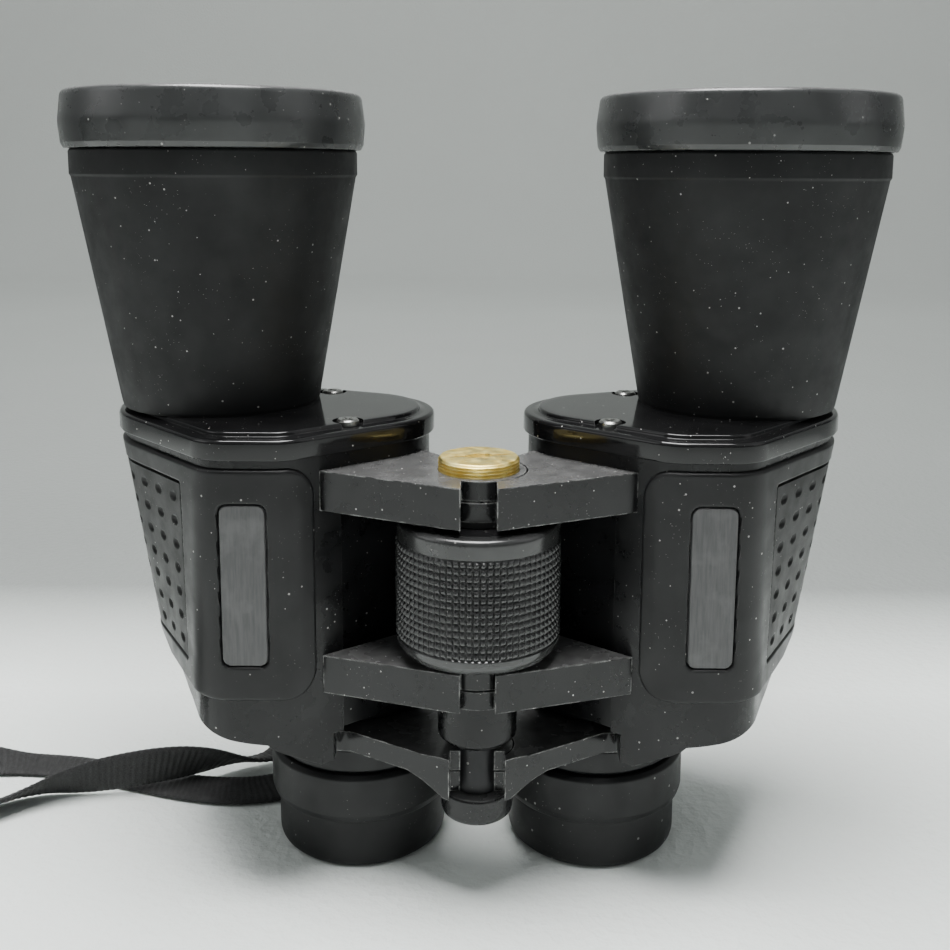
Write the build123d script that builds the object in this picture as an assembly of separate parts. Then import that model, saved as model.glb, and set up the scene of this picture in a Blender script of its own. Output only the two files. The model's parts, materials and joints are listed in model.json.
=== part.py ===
from build123d import *
from math import atan2, cos, degrees, pi, radians, sin, sqrt, tan
import os

# Porro prism binocular, standing on its eyecups with the objectives up. Millimetres, +Z up.
# The user's top side, with the focus wheel, faces -Y. The origin is on the standing surface,
# at the centre of the object's own box. Pieces are drawn for the +X half and mirrored.

# ---- driving dimensions -------------------------------------------------------------------
HINGE_Y = -23.8
OBJECTIVE_X = 61.0
OBJECTIVE_Y = 7.5
EYEPIECE_X = 28.1
EYEPIECE_Y = 2.3
TOTAL_HEIGHT = 176.9

RUN_CLEARANCE = 0.05
BODY_GAP = 0.3

GUARD_RADIUS = 34.1
GUARD_FOOT_Z = 164.2
GUARD_LIP_RADIUS = 28.6
BARREL_TOP_Z = 168.0
BARREL_NECK_RADIUS = 30.5
BARREL_HEAD_RADIUS = 32.3
BARREL_HEAD_FOOT_Z = 158.3
BARREL_FOOT_RADIUS = 22.8
BARREL_SPIGOT_RADIUS = 18.0
BARREL_SPIGOT_FOOT_Z = 97.2
BARREL_LIGHT_RADIUS = 16.0
LENS_RADIUS = 26.4
LENS_SEAT_Z = 158.0
CEMENT_CENTRE_Z = 159.6
CEMENT_EDGE_Z = 161.6
LENS_CROWN_Z = 168.2
RETAINER_FOOT_Z = 165.0

COVER_FOOT_Z = 100.4
COVER_RIM_Z = 104.9
COVER_PLATEAU_Z = 105.9
COVER_OVERHANG = 1.2
PLATEAU_INSET = 3.4
COVER_SCREWS = ((28.6, -16.6), (36.0, 16.2))
SCREW_HEAD_RADIUS = 2.5
SCREW_SHANK_RADIUS = 1.2
SCREW_LENGTH = 9.0
SCREW_BOSS_RADIUS = 3.2

HOUSING_FOOT_Z = 37.0
SKIRT_FOOT_Z = 30.6
SKIRT_INNER_X = 31.7
SKIRT_THICKNESS = 4.2
TAPER_FOOT_Z = 32.0
HOUSING_WALL = 2.2
HOUSING_FLOOR = 2.5
HOUSING_BOTTOM_EDGE_X = 73.6
HOUSING_BOTTOM_CORNER = 10.5
INNER_WALL_EXTRA = 4.0
WALL_STEP_X = 29.6
WALL_STEP_DEPTH = 1.6
FAR = 60.0
HALF_SPACE = [(0, -FAR), (100, -FAR), (100, FAR), (0, FAR)]

# Circles (x, y, radius) that the housing is wrapped round, counter-clockwise, at the front cover
# and at the foot of the taper. Only the circle under the objective moves and shrinks.
EYEPIECE_LOBE = (29.8, 0.2, 18.2)
INNER_FRONT_LOBE = (43.5, -20.6, 10.2)
OUTER_FRONT_LOBE = (52.0, -20.6, 10.2)
OBJECTIVE_LOBE_TOP = (61.0, 7.5, 22.6)
OBJECTIVE_LOBE_FOOT = (53.3, 6.2, 19.3)

PANEL_THICKNESS = 1.0
PANEL_FOOT_Z = 47.8
PANEL_TOP_Z = 98.6
PANEL_INNER_X = 35.0
PANEL_BACK_X = 55.0
PANEL_CORNER = 6.5
PAD_THICKNESS = 0.8
PAD_FOOT_Z = 53.6
PAD_TOP_Z = 93.6
PAD_START_ANGLE = -61.0
PAD_END_ANGLE = 48.0
LABEL_X = 49.0
LABEL_WIDTH = 9.6
LABEL_FOOT_Z = 55.8
LABEL_TOP_Z = 91.0
LABEL_THICKNESS = 0.85
INLAY_GAP = 0.15

UPPER_ARM_FOOT_Z = 88.3
UPPER_ARM_TOP_Z = 97.1
UPPER_ARM_TIP_Y = -39.6
LOWER_ARM_FOOT_Z = 47.2
LOWER_ARM_TOP_Z = 55.8
LOWER_ARM_TIP_Y = -35.6
ARM_ROOT_X = 35.5
ARM_ROOT_Y = -25.2
ARM_HALF_SLOT = 3.65
UPPER_RING_RADIUS = 10.2
LOWER_RING_RADIUS = 10.2

HINGE_BORE_RADIUS = 8.7
PLUG_TOP_Z = 100.0
PLUG_FOOT_Z = 94.6
STUB_RADIUS = 8.55
STUB_FOOT_Z = 88.6
STUB_TOP_Z = 94.4
STUB_PILOT_RADIUS = 4.0
STUB_PILOT_FOOT_Z = 83.6
TRIPOD_THREAD_RADIUS = 3.175
TRIPOD_THREAD_DEPTH = 5.6
LOWER_TUBE_RADIUS = 8.7
LOWER_TUBE_FOOT_Z = 36.9
LOWER_TUBE_SHOULDER_Z = 47.0
LOWER_JOURNAL_RADIUS = 7.0
TUBE_PILOT_RADIUS = 6.2
TUBE_PILOT_TOP_Z = 62.8
WASHER_RADIUS = 9.6
WASHER_GAP = 0.15
SPINDLE_THREAD_RADIUS = 4.5
SPINDLE_BORE_RADIUS = 4.6
SPINDLE_HUB_RADIUS = 5.2
SPINDLE_HUB_TOP_Z = 35.8
SPINDLE_STUD_RADIUS = 3.0
SPINDLE_STUD_FOOT_Z = 21.0
SPINDLE_TOP_Z = 79.0

WHEEL_FOOT_Z = 58.0
WHEEL_TOP_Z = 86.8
WHEEL_RADIUS = 17.8
WHEEL_CORE_RADIUS = 14.4
WHEEL_BORE_FOOT_Z = 63.0
WHEEL_BORE_TOP_Z = 81.0

CAP_RADIUS = 8.0
CAP_TOP_Z = 25.1
BRIDGE_HUB_RADIUS = 7.9
BRIDGE_HUB_TOP_Z = 34.7
BRIDGE_HUB_FOOT_Z = 25.3
BRIDGE_FOOT_Z = 29.3
BRIDGE_TOP_Z = 34.2
BRIDGE_RING_RADIUS = 20.3
BRIDGE_HALF_SLOT = 6.0
BRIDGE_SLOT_Y = -27.5
CAP_FOOT_Z = 18.7

OCULAR_TUBE_RADIUS = 13.25
OCULAR_TUBE_BORE = 12.0
OCULAR_TUBE_FOOT_Z = 5.0
OCULAR_TUBE_TOP_Z = 50.4
GUIDE_RADIUS = 14.2
GUIDE_FLANGE_RADIUS = 16.0
GUIDE_FLANGE_FOOT_Z = 34.6
GUIDE_TOP_Z = 47.0
COLLAR_FOOT_Z = 23.7
BAND_RADIUS = 21.8
BAND_FOOT_Z = 12.1
EYECUP_RADIUS = 20.1
EYECUP_MOUTH_RADIUS = 14.0
EYECUP_GRIP_Z = 5.0

SHELF_FOOT_Z = 63.5
SHELF_TOP_Z = 66.5
PRISM_HALF_WIDTH = 10.5
CLIP_THICKNESS = 0.6
CLIP_WIDTH = 8.0

LUG_X = 45.0
LUG_FOOT_Z = 41.0
LUG_THICKNESS = 3.6
LUG_WIDTH = 15.0
LUG_START_Y = 18.0
LUG_END_Y = 32.4
LUG_CORNER = 2.4
LUG_SLOT_Y = 29.0
LUG_SLOT_WIDTH = 11.0
LUG_SLOT_DEPTH = 3.2

# The neck strap is webbing 10 mm wide and 1.5 mm thick; a round tube of the same section area
# stands for it where it lies along the surface.
STRAP_TUBE_RADIUS = 2.2
COIL_X = -186.0
COIL_Y = -10.0
COIL_RADIUS = 42.0
COIL_HEIGHT = 10.6

LEFT_STRAP_ROUTE = (
    (-LUG_X, LUG_SLOT_Y, LUG_FOOT_Z - 0.4), (-45.4, 29.4, 32.0), (-46.8, 30.6, 21.5), (-50.0, 31.4, 11.5),
    (-57.0, 30.8, 4.8), (-66.5, 29.2, 3.0), (-77.0, 27.4, 4.6), (-88.0, 25.2, 7.4),
    (-99.5, 20.8, 7.4), (-109.0, 12.8, 4.6), (-118.5, 4.4, 2.8), (-128.0, -6.0, 2.6),
    (-137.0, -17.0, 2.6), (-147.5, -26.5, 3.4),
)
RIGHT_STRAP_ROUTE = (
    (LUG_X, LUG_SLOT_Y, LUG_FOOT_Z - 0.4), (44.6, 29.8, 32.0), (42.4, 32.2, 21.5), (37.0, 35.4, 11.5),
    (27.0, 38.2, 4.8), (14.0, 39.2, 2.6), (-1.0, 38.0, 2.3), (-16.0, 35.0, 2.3),
    (-29.5, 30.0, 2.3), (-40.5, 22.6, 2.3), (-50.5, 15.8, 2.3), (-62.0, 14.6, 2.3),
    (-75.0, 17.0, 2.3), (-88.0, 20.6, 2.3), (-101.0, 24.4, 2.3), (-115.0, 26.8, 2.3),
    (-129.0, 26.8, 2.3), (-141.0, 21.6, 2.4), (-149.0, 10.5, 3.2),
)

os.makedirs("parts", exist_ok=True)


# ---- helpers ------------------------------------------------------------------------------
def save(name, *solids):
    """Write one node, as a group when it holds several separate solids."""
    pieces = [solid for item in solids for solid in item.solids()]
    shape = pieces[0] if len(pieces) == 1 else Compound(children=pieces)
    export_step(shape, f"parts/{name}.step")


def save_pair(name, right_shape):
    """Write the right piece and its mirror image on the left."""
    save(f"right_{name}", right_shape)
    save(f"left_{name}", mirror(right_shape, about=Plane.YZ))


def turned(profile, x=0.0, y=0.0):
    """Solid of revolution about a vertical axis, from (radius, z) corners."""
    outline = Polyline(*profile, close=True)
    return Pos(x, y, 0) * revolve(Plane.XZ * make_face(outline), Axis.Z)


def rod(radius, low, high, x=0.0, y=0.0):
    return Pos(x, y, low) * Cylinder(radius, high - low, align=(Align.CENTER, Align.CENTER, Align.MIN))


def ring(outer, inner, low, high, x=0.0, y=0.0):
    return rod(outer, low, high, x, y) - rod(inner, low - 1, high + 1, x, y)


def edges_at(shape, z):
    """Level edges that lie at one height."""
    return shape.edges().filter_by_position(Axis.Z, z - 0.01, z + 0.01)


def wrapped(circles, z):
    """Face at height z inside the tight outline round circles (x, y, radius)."""
    count = len(circles)
    normals = []
    for index, (x1, y1, r1) in enumerate(circles):
        x2, y2, r2 = circles[(index + 1) % count]
        run = Vector(x2 - x1, y2 - y1, 0)
        along = run.normalized()
        across = Vector(along.Y, -along.X, 0)
        sine = (r1 - r2) / run.length
        normals.append(across * sqrt(1 - sine**2) + along * sine)
    edges = []
    for index, (x, y, radius) in enumerate(circles):
        centre = Vector(x, y, z)
        before, after = normals[index - 1], normals[index]
        middle = (before + after).normalized()
        leave = centre + after * radius
        edges.append(ThreePointArc(centre + before * radius, centre + middle * radius, leave))
        nx, ny, nr = circles[(index + 1) % count]
        edges.append(Line(leave, Vector(nx, ny, z) + after * nr))
    return make_face(edges)


def housing_circles(z, grow=0.0):
    """Housing outline circles at height z, moved outwards by grow."""
    share = (COVER_FOOT_Z - z) / (COVER_FOOT_Z - TAPER_FOOT_Z)
    lobe_ends = zip(OBJECTIVE_LOBE_TOP, OBJECTIVE_LOBE_FOOT)
    moving = [top + (foot - top) * share for top, foot in lobe_ends]
    circles = [EYEPIECE_LOBE, INNER_FRONT_LOBE, OUTER_FRONT_LOBE, moving]
    return [(x, y, radius + grow) for x, y, radius in circles]


def tapered(low, high, grow=0.0):
    """Solid that follows the housing's tapering outline between two heights."""
    sections = [wrapped(housing_circles(z, grow), z) for z in (low, high)]
    return loft(sections, ruled=True)


def front_wall_block(inner_x, outer_x, depth, low, high):
    """Block against the housing's slanting inner front wall, reaching depth inside it."""
    x1, y1, r1 = EYEPIECE_LOBE
    x2, y2, r2 = INNER_FRONT_LOBE
    run = Vector(x2 - x1, y2 - y1, 0)
    along = run.normalized()
    across = Vector(along.Y, -along.X, 0)
    sine = (r1 - r2) / run.length
    normal = across * sqrt(1 - sine**2) + along * sine
    wall_point = Vector(x1, y1, 0) + normal * r1
    slope = -normal.X / normal.Y

    def on_wall(x, inset):
        return Vector(x, wall_point.Y + (x - wall_point.X) * slope, 0) - normal * inset

    corners = [on_wall(inner_x, -3), on_wall(outer_x, -3), on_wall(outer_x, depth), on_wall(inner_x, depth)]
    face = make_face(Polyline(*[(point.X, point.Y) for point in corners], close=True))
    return Pos(0, 0, low) * extrude(face, high - low)


def plate(points, low, high):
    """Level plate with straight sides."""
    return Pos(0, 0, low) * extrude(make_face(Polyline(*points, close=True)), high - low)


def dome_point(radius, centre_z, edge_z):
    """Point half way out on the round face of a lens."""
    rise = centre_z - edge_z
    if abs(rise) < 1e-6:
        return (radius / 2, centre_z)
    curve = (radius**2 + rise**2) / (2 * abs(rise))
    sag = curve - sqrt(curve**2 - radius**2 / 4)
    return (radius / 2, centre_z - sag * rise / abs(rise))


def lens(radius, low_centre, low_edge, high_edge, high_centre, x, y):
    """Lens with a vertical axis and spherical faces."""
    low_face = ThreePointArc((0, low_centre), dome_point(radius, low_centre, low_edge), (radius, low_edge))
    rim = Line((radius, low_edge), (radius, high_edge))
    high_point = dome_point(radius, high_centre, high_edge)
    high_face = ThreePointArc((radius, high_edge), high_point, (0, high_centre))
    axis_line = Line((0, high_centre), (0, low_centre))
    face = make_face([low_face, rim, high_face, axis_line])
    return Pos(x, y, 0) * revolve(Plane.XZ * face, Axis.Z)


# ---- prism housing and its covers ------------------------------------------------------------
def front_profile(raise_by=0.0, inset=0.0):
    """Everything above the housing's underside as seen from the front, swept front to back."""
    foot = HOUSING_FOOT_Z + raise_by
    outline = Polyline(
        (0, foot), (SKIRT_INNER_X, foot), (HOUSING_BOTTOM_EDGE_X - inset, foot + 0.6), (86, 115), (0, 115),
        close=True)
    face = make_face(outline)
    corner = face.vertices().sort_by(Axis.X)[-2]
    face = fillet(corner, HOUSING_BOTTOM_CORNER - inset)
    return extrude(Plane.XZ * face, FAR, both=True)


def housing_body():
    outer = tapered(SKIRT_FOOT_Z - 2, COVER_FOOT_Z)
    shell = outer & front_profile()
    skirt_face = make_face(Polyline(
        (SKIRT_INNER_X, HOUSING_FOOT_Z + 1), (SKIRT_INNER_X, SKIRT_FOOT_Z), (34.2, SKIRT_FOOT_Z),
        (38.9, 34.1), (45.0, HOUSING_FOOT_Z), (48.0, HOUSING_FOOT_Z + 1), close=True))
    skirt_band = extrude(Plane.XZ * skirt_face, FAR)
    skirt_wall = front_wall_block(20, FAR, SKIRT_THICKNESS, SKIRT_FOOT_Z - 2, HOUSING_FOOT_Z + 1)
    skirt = outer & skirt_band & skirt_wall
    cavity = tapered(HOUSING_FOOT_Z, COVER_FOOT_Z + 1, -HOUSING_WALL)
    cavity = cavity & front_profile(HOUSING_FLOOR, HOUSING_WALL)
    cavity = cavity - front_wall_block(0, 50, INNER_WALL_EXTRA, HOUSING_FOOT_Z, UPPER_ARM_FOOT_Z)
    return shell + skirt, cavity


def prism_points():
    """Light path through the two prisms: objective, half way, eyepiece."""
    start = Vector(OBJECTIVE_X, OBJECTIVE_Y, 0)
    end = Vector(EYEPIECE_X, EYEPIECE_Y, 0)
    leap = end - start
    middle = start + (leap.rotate(Axis.Z, 45)) * (1 / sqrt(2))
    return start, middle, end


def prism_wedge(start, end, face_z, upward, grow=0.0, width=None):
    """Right-angle prism whose long face lies at face_z between two beam centres."""
    run = end - start
    half_width = PRISM_HALF_WIDTH
    reach = run.length / 2 + half_width + grow * 2.4
    height = run.length / 2 + half_width + grow * 1.4
    tip = height if upward else -height
    wedge = make_face(Polyline((-reach, 0), (reach, 0), (0, tip), close=True))
    across = half_width if width is None else width / 2
    solid = extrude(Plane.XZ * wedge, across, both=True)
    middle = (start + end) * 0.5
    return Pos(middle.X, middle.Y, face_z) * Rot(0, 0, degrees(atan2(run.Y, run.X))) * solid


def prism(start, end, face_z, upward):
    """The glass prism, with its long face's ends rounded off as ground corners."""
    wedge = prism_wedge(start, end, face_z, upward)
    run = end - start
    middle = (start + end) * 0.5
    footprint = SlotCenterToCenter(run.length, 2 * PRISM_HALF_WIDTH)
    column = extrude(footprint, 30, both=True)
    return wedge & Pos(middle.X, middle.Y, face_z) * Rot(0, 0, degrees(atan2(run.Y, run.X))) * column


def prism_clip(start, end, face_z, upward, cavity):
    """Thin spring strap bent over a prism's ridge."""
    outer = prism_wedge(start, end, face_z, upward, CLIP_THICKNESS, CLIP_WIDTH)
    inner = prism_wedge(start, end, face_z, upward)
    return (outer - inner) & cavity


# ---- build: optical and body pieces of each half -----------------------------------------------
solid_housing, cavity = housing_body()
start, middle, end = prism_points()
screw_bosses = [rod(SCREW_BOSS_RADIUS, COVER_FOOT_Z - 12, COVER_FOOT_Z, x, y) for x, y in COVER_SCREWS]
filled_housing = tapered(SKIRT_FOOT_Z - 2, COVER_FOOT_Z)

housing = solid_housing - cavity
for boss in screw_bosses:
    housing = housing + (boss & filled_housing)
for x, y in COVER_SCREWS:
    housing = housing - rod(SCREW_SHANK_RADIUS, COVER_FOOT_Z - SCREW_LENGTH + 4.5, COVER_FOOT_Z + 1, x, y)
housing = housing - rod(GUIDE_RADIUS, HOUSING_FOOT_Z - 1, GUIDE_TOP_Z, EYEPIECE_X, EYEPIECE_Y)
housing = housing - front_wall_block(0, WALL_STEP_X, WALL_STEP_DEPTH, HOUSING_FOOT_Z - 1, UPPER_ARM_FOOT_Z)
save_pair("prism_housing", housing)

cover_circles = housing_circles(COVER_FOOT_Z, COVER_OVERHANG)
cover = extrude(wrapped(cover_circles, COVER_FOOT_Z), COVER_RIM_Z - COVER_FOOT_Z)
cover = chamfer(edges_at(cover, COVER_RIM_Z), 1.0)
plateau_circles = housing_circles(COVER_FOOT_Z, COVER_OVERHANG - PLATEAU_INSET)
plateau = extrude(wrapped(plateau_circles, COVER_RIM_Z), COVER_PLATEAU_Z - COVER_RIM_Z)
for x, y in COVER_SCREWS:
    plateau = plateau - rod(SCREW_HEAD_RADIUS + 0.8, COVER_RIM_Z, COVER_PLATEAU_Z + 1, x, y)
cover = cover + plateau
cover = cover - rod(BARREL_SPIGOT_RADIUS, COVER_FOOT_Z - 1, COVER_PLATEAU_Z + 1, OBJECTIVE_X, OBJECTIVE_Y)
for x, y in COVER_SCREWS:
    cover = cover - rod(SCREW_SHANK_RADIUS, COVER_FOOT_Z - 1, COVER_PLATEAU_Z + 1, x, y)
save_pair("front_cover", cover)


def cover_screw(x, y):
    """Pan-head screw with a cross slot."""
    head = rod(SCREW_HEAD_RADIUS, COVER_RIM_Z, COVER_RIM_Z + 1.4, x, y)
    head = chamfer(edges_at(head, COVER_RIM_Z + 1.4), 0.4)
    shank = rod(SCREW_SHANK_RADIUS, COVER_RIM_Z + 0.9 - SCREW_LENGTH, COVER_RIM_Z, x, y)
    screw = head + shank
    for angle in (45, 135):
        slot = Pos(x, y, COVER_RIM_Z + 1.2) * Rot(0, 0, angle) * Box(3.0, 0.5, 1.0)
        screw = screw - slot
    return screw


save_pair("front_cover_screws", Compound(children=[cover_screw(x, y) for x, y in COVER_SCREWS]))

panel_plan = [
    (PANEL_INNER_X, -FAR), (100, -FAR), (100, FAR), (PANEL_BACK_X, FAR), (PANEL_BACK_X, 5),
    (PANEL_INNER_X, 5)]
panel_region = plate(panel_plan, PANEL_FOOT_Z, PANEL_TOP_Z)
panel_window = RectangleRounded(2 * (100 - PANEL_INNER_X), PANEL_TOP_Z - PANEL_FOOT_Z, PANEL_CORNER)
panel_window = extrude(Plane.XZ * panel_window, FAR, both=True)
panel_window = Pos(100, 0, (PANEL_TOP_Z + PANEL_FOOT_Z) / 2) * panel_window
panel = tapered(PANEL_FOOT_Z, PANEL_TOP_Z, PANEL_THICKNESS) - tapered(PANEL_FOOT_Z - 1, PANEL_TOP_Z + 1)
panel = panel & panel_region & panel_window


def sector(first, last, low, high):
    """Wedge of space round the middle of the housing between two directions."""
    spokes = [first, (first + last) / 2, last]
    points = [(50, 0)] + [(50 + 90 * cos(radians(a)), 90 * sin(radians(a))) for a in spokes]
    return plate(points, low, high)


def label_window(margin):
    width = LABEL_WIDTH + 2 * margin
    height = LABEL_TOP_Z - LABEL_FOOT_Z + 2 * margin
    face = RectangleRounded(width, height, 1.8 + margin)
    return Pos(LABEL_X, 0, (LABEL_TOP_Z + LABEL_FOOT_Z) / 2) * extrude(Plane.XZ * face, FAR)


pad_sector = sector(PAD_START_ANGLE, PAD_END_ANGLE, PAD_FOOT_Z, PAD_TOP_Z)
gap_angle = degrees(INLAY_GAP / 30)
pad_hole = sector(
    PAD_START_ANGLE - gap_angle, PAD_END_ANGLE + gap_angle, PAD_FOOT_Z - INLAY_GAP, PAD_TOP_Z + INLAY_GAP)
save_pair("armour_panel", panel - pad_hole - label_window(INLAY_GAP))
wall = tapered(PAD_FOOT_Z - 2, PAD_TOP_Z + 2)
pad = tapered(PAD_FOOT_Z - 1, PAD_TOP_Z + 1, PAD_THICKNESS) - wall
save_pair("grip_pad", pad & pad_sector)
label = tapered(LABEL_FOOT_Z - 1, LABEL_TOP_Z + 1, LABEL_THICKNESS) - wall
save_pair("label_plate", label & label_window(0))

rear_prism = prism(start, middle, SHELF_FOOT_Z, False)
front_prism = prism(middle, end, SHELF_TOP_Z, True)
save_pair("prisms", Compound(children=[*rear_prism.solids(), *front_prism.solids()]))
shelf = cavity & plate(HALF_SPACE, SHELF_FOOT_Z, SHELF_TOP_Z)
for point in (start, middle, end):
    shelf = shelf - rod(PRISM_HALF_WIDTH - 1.0, SHELF_FOOT_Z - 1, SHELF_TOP_Z + 1, point.X, point.Y)
save_pair("prism_shelf", shelf)
clips = [
    prism_clip(start, middle, SHELF_FOOT_Z, False, cavity),
    prism_clip(middle, end, SHELF_TOP_Z, True, cavity)]
save_pair("prism_clips", Compound(children=[solid for clip in clips for solid in clip.solids()]))

# ---- objective barrel, lens and guard ------------------------------------------------------------
barrel = turned([
    (BARREL_LIGHT_RADIUS, BARREL_SPIGOT_FOOT_Z), (BARREL_SPIGOT_RADIUS, BARREL_SPIGOT_FOOT_Z),
    (BARREL_SPIGOT_RADIUS, COVER_PLATEAU_Z), (BARREL_FOOT_RADIUS, COVER_PLATEAU_Z),
    (BARREL_HEAD_RADIUS - 0.3, BARREL_HEAD_FOOT_Z), (BARREL_HEAD_RADIUS, BARREL_HEAD_FOOT_Z + 0.3),
    (BARREL_HEAD_RADIUS, GUARD_FOOT_Z), (BARREL_NECK_RADIUS, GUARD_FOOT_Z),
    (BARREL_NECK_RADIUS, BARREL_TOP_Z), (LENS_RADIUS, BARREL_TOP_Z), (LENS_RADIUS, LENS_SEAT_Z),
    (LENS_RADIUS - 1.4, LENS_SEAT_Z), (BARREL_LIGHT_RADIUS + 1.0, COVER_PLATEAU_Z + 3.0),
    (BARREL_LIGHT_RADIUS, COVER_PLATEAU_Z)], OBJECTIVE_X, OBJECTIVE_Y)
save_pair("objective_barrel", barrel)
crown = lens(
    LENS_RADIUS, CEMENT_CENTRE_Z, CEMENT_EDGE_Z, RETAINER_FOOT_Z, LENS_CROWN_Z, OBJECTIVE_X, OBJECTIVE_Y)
flint = lens(
    LENS_RADIUS, LENS_SEAT_Z - 0.4, LENS_SEAT_Z, CEMENT_EDGE_Z, CEMENT_CENTRE_Z, OBJECTIVE_X, OBJECTIVE_Y)
save_pair("objective_lens", Compound(children=[*crown.solids(), *flint.solids()]))
retainer = ring(
    LENS_RADIUS, LENS_RADIUS - 1.4, RETAINER_FOOT_Z + 0.4, BARREL_TOP_Z - 0.2, OBJECTIVE_X, OBJECTIVE_Y)
save_pair("objective_retaining_ring", retainer)
guard = rod(GUARD_RADIUS, GUARD_FOOT_Z, TOTAL_HEIGHT, OBJECTIVE_X, OBJECTIVE_Y)
guard = fillet(edges_at(guard, TOTAL_HEIGHT), 2.8)
guard = fillet(edges_at(guard, GUARD_FOOT_Z), 0.9)
guard = guard - rod(BARREL_NECK_RADIUS, GUARD_FOOT_Z - 1, BARREL_TOP_Z, OBJECTIVE_X, OBJECTIVE_Y)
guard = guard - turned([
    (0, BARREL_TOP_Z - 1), (GUARD_LIP_RADIUS, BARREL_TOP_Z - 1), (GUARD_LIP_RADIUS, TOTAL_HEIGHT - 5),
    (GUARD_LIP_RADIUS + 1.6, TOTAL_HEIGHT - 1), (GUARD_LIP_RADIUS + 1.9, TOTAL_HEIGHT + 1),
    (0, TOTAL_HEIGHT + 1)], OBJECTIVE_X, OBJECTIVE_Y)
save_pair("objective_guard", guard)

# ---- eyepieces -----------------------------------------------------------------------------------
guide = turned([
    (OCULAR_TUBE_RADIUS + RUN_CLEARANCE, GUIDE_FLANGE_FOOT_Z), (GUIDE_FLANGE_RADIUS, GUIDE_FLANGE_FOOT_Z),
    (GUIDE_FLANGE_RADIUS, HOUSING_FOOT_Z), (GUIDE_RADIUS, HOUSING_FOOT_Z),
    (GUIDE_RADIUS, GUIDE_TOP_Z), (OCULAR_TUBE_RADIUS + RUN_CLEARANCE, GUIDE_TOP_Z)], EYEPIECE_X, EYEPIECE_Y)
save_pair("eyepiece_guide", guide)
ocular_tube = turned([
    (10.6, OCULAR_TUBE_FOOT_Z), (OCULAR_TUBE_RADIUS, OCULAR_TUBE_FOOT_Z),
    (OCULAR_TUBE_RADIUS, OCULAR_TUBE_TOP_Z), (OCULAR_TUBE_BORE, OCULAR_TUBE_TOP_Z),
    (OCULAR_TUBE_BORE, OCULAR_TUBE_FOOT_Z + 2.0), (10.6, OCULAR_TUBE_FOOT_Z + 2.0)], EYEPIECE_X, EYEPIECE_Y)
save_pair("ocular_tube", ocular_tube)
eye_lens = lens(OCULAR_TUBE_BORE, 7.6, 7.0, 10.0, 12.4, EYEPIECE_X, EYEPIECE_Y)
save_pair("eye_lens", eye_lens)
save_pair("field_lens", lens(OCULAR_TUBE_BORE, 42.0, 44.0, 46.5, 48.5, EYEPIECE_X, EYEPIECE_Y))
collar = ring(BRIDGE_RING_RADIUS, OCULAR_TUBE_RADIUS, COLLAR_FOOT_Z, BRIDGE_FOOT_Z, EYEPIECE_X, EYEPIECE_Y)
save_pair("ocular_collar", collar)


def eyepiece_band(bore, top):
    """Wide band of the eyepiece, with its lower corner stepping in to the eyecup."""
    return turned([
        (bore, BAND_FOOT_Z), (EYECUP_RADIUS + 0.3, BAND_FOOT_Z), (BAND_RADIUS, BAND_FOOT_Z + 1.3),
        (BAND_RADIUS, top - 0.7), (BAND_RADIUS - 0.7, top), (bore, top)], EYEPIECE_X, EYEPIECE_Y)


save("left_eyepiece_band", mirror(eyepiece_band(OCULAR_TUBE_RADIUS, COLLAR_FOOT_Z), about=Plane.YZ))
save("right_diopter_ring", eyepiece_band(OCULAR_TUBE_RADIUS + RUN_CLEARANCE, COLLAR_FOOT_Z - 0.2))


def eyecup(bore):
    """Rubber cup that the object stands on; its mouth holds the eye."""
    cup = rod(EYECUP_RADIUS, 0, BAND_FOOT_Z, EYEPIECE_X, EYEPIECE_Y)
    cup = fillet(edges_at(cup, 0), 3.0)
    cup = cup - rod(bore, EYECUP_GRIP_Z, BAND_FOOT_Z + 1, EYEPIECE_X, EYEPIECE_Y)
    return cup - turned([
        (0, -1), (EYECUP_MOUTH_RADIUS + 0.4, -1), (EYECUP_MOUTH_RADIUS, 0.6), (11.4, EYECUP_GRIP_Z),
        (11.4, EYECUP_GRIP_Z + 1), (0, EYECUP_GRIP_Z + 1)], EYEPIECE_X, EYEPIECE_Y)


save("left_eyecup", mirror(eyecup(OCULAR_TUBE_RADIUS), about=Plane.YZ))
save("right_eyecup", eyecup(OCULAR_TUBE_RADIUS + RUN_CLEARANCE))


# ---- hinge arms ------------------------------------------------------------------------------
def hinge_arm(low, high, tip_y, ring_radius, bore, knuckle_low, knuckle_high):
    """Arm from the housing to its knuckle; the other arm's knuckle turns in the rest of its height."""
    plan = [
        (ARM_HALF_SLOT, tip_y), (ARM_ROOT_X, ARM_ROOT_Y), (38, -12), (13, -6.5), (6.5, -14.5),
        (ARM_HALF_SLOT, -15.0)]
    arm = plate(plan, low, high)
    arm = arm - rod(ring_radius + BODY_GAP, low - 1, high + 1, 0, HINGE_Y)
    arm = arm + plate(plan, knuckle_low, knuckle_high)
    arm = arm + rod(ring_radius, knuckle_low, knuckle_high, 0, HINGE_Y)
    arm = arm - rod(bore, low - 1, high + 1, 0, HINGE_Y)
    return arm - filled_housing


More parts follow.
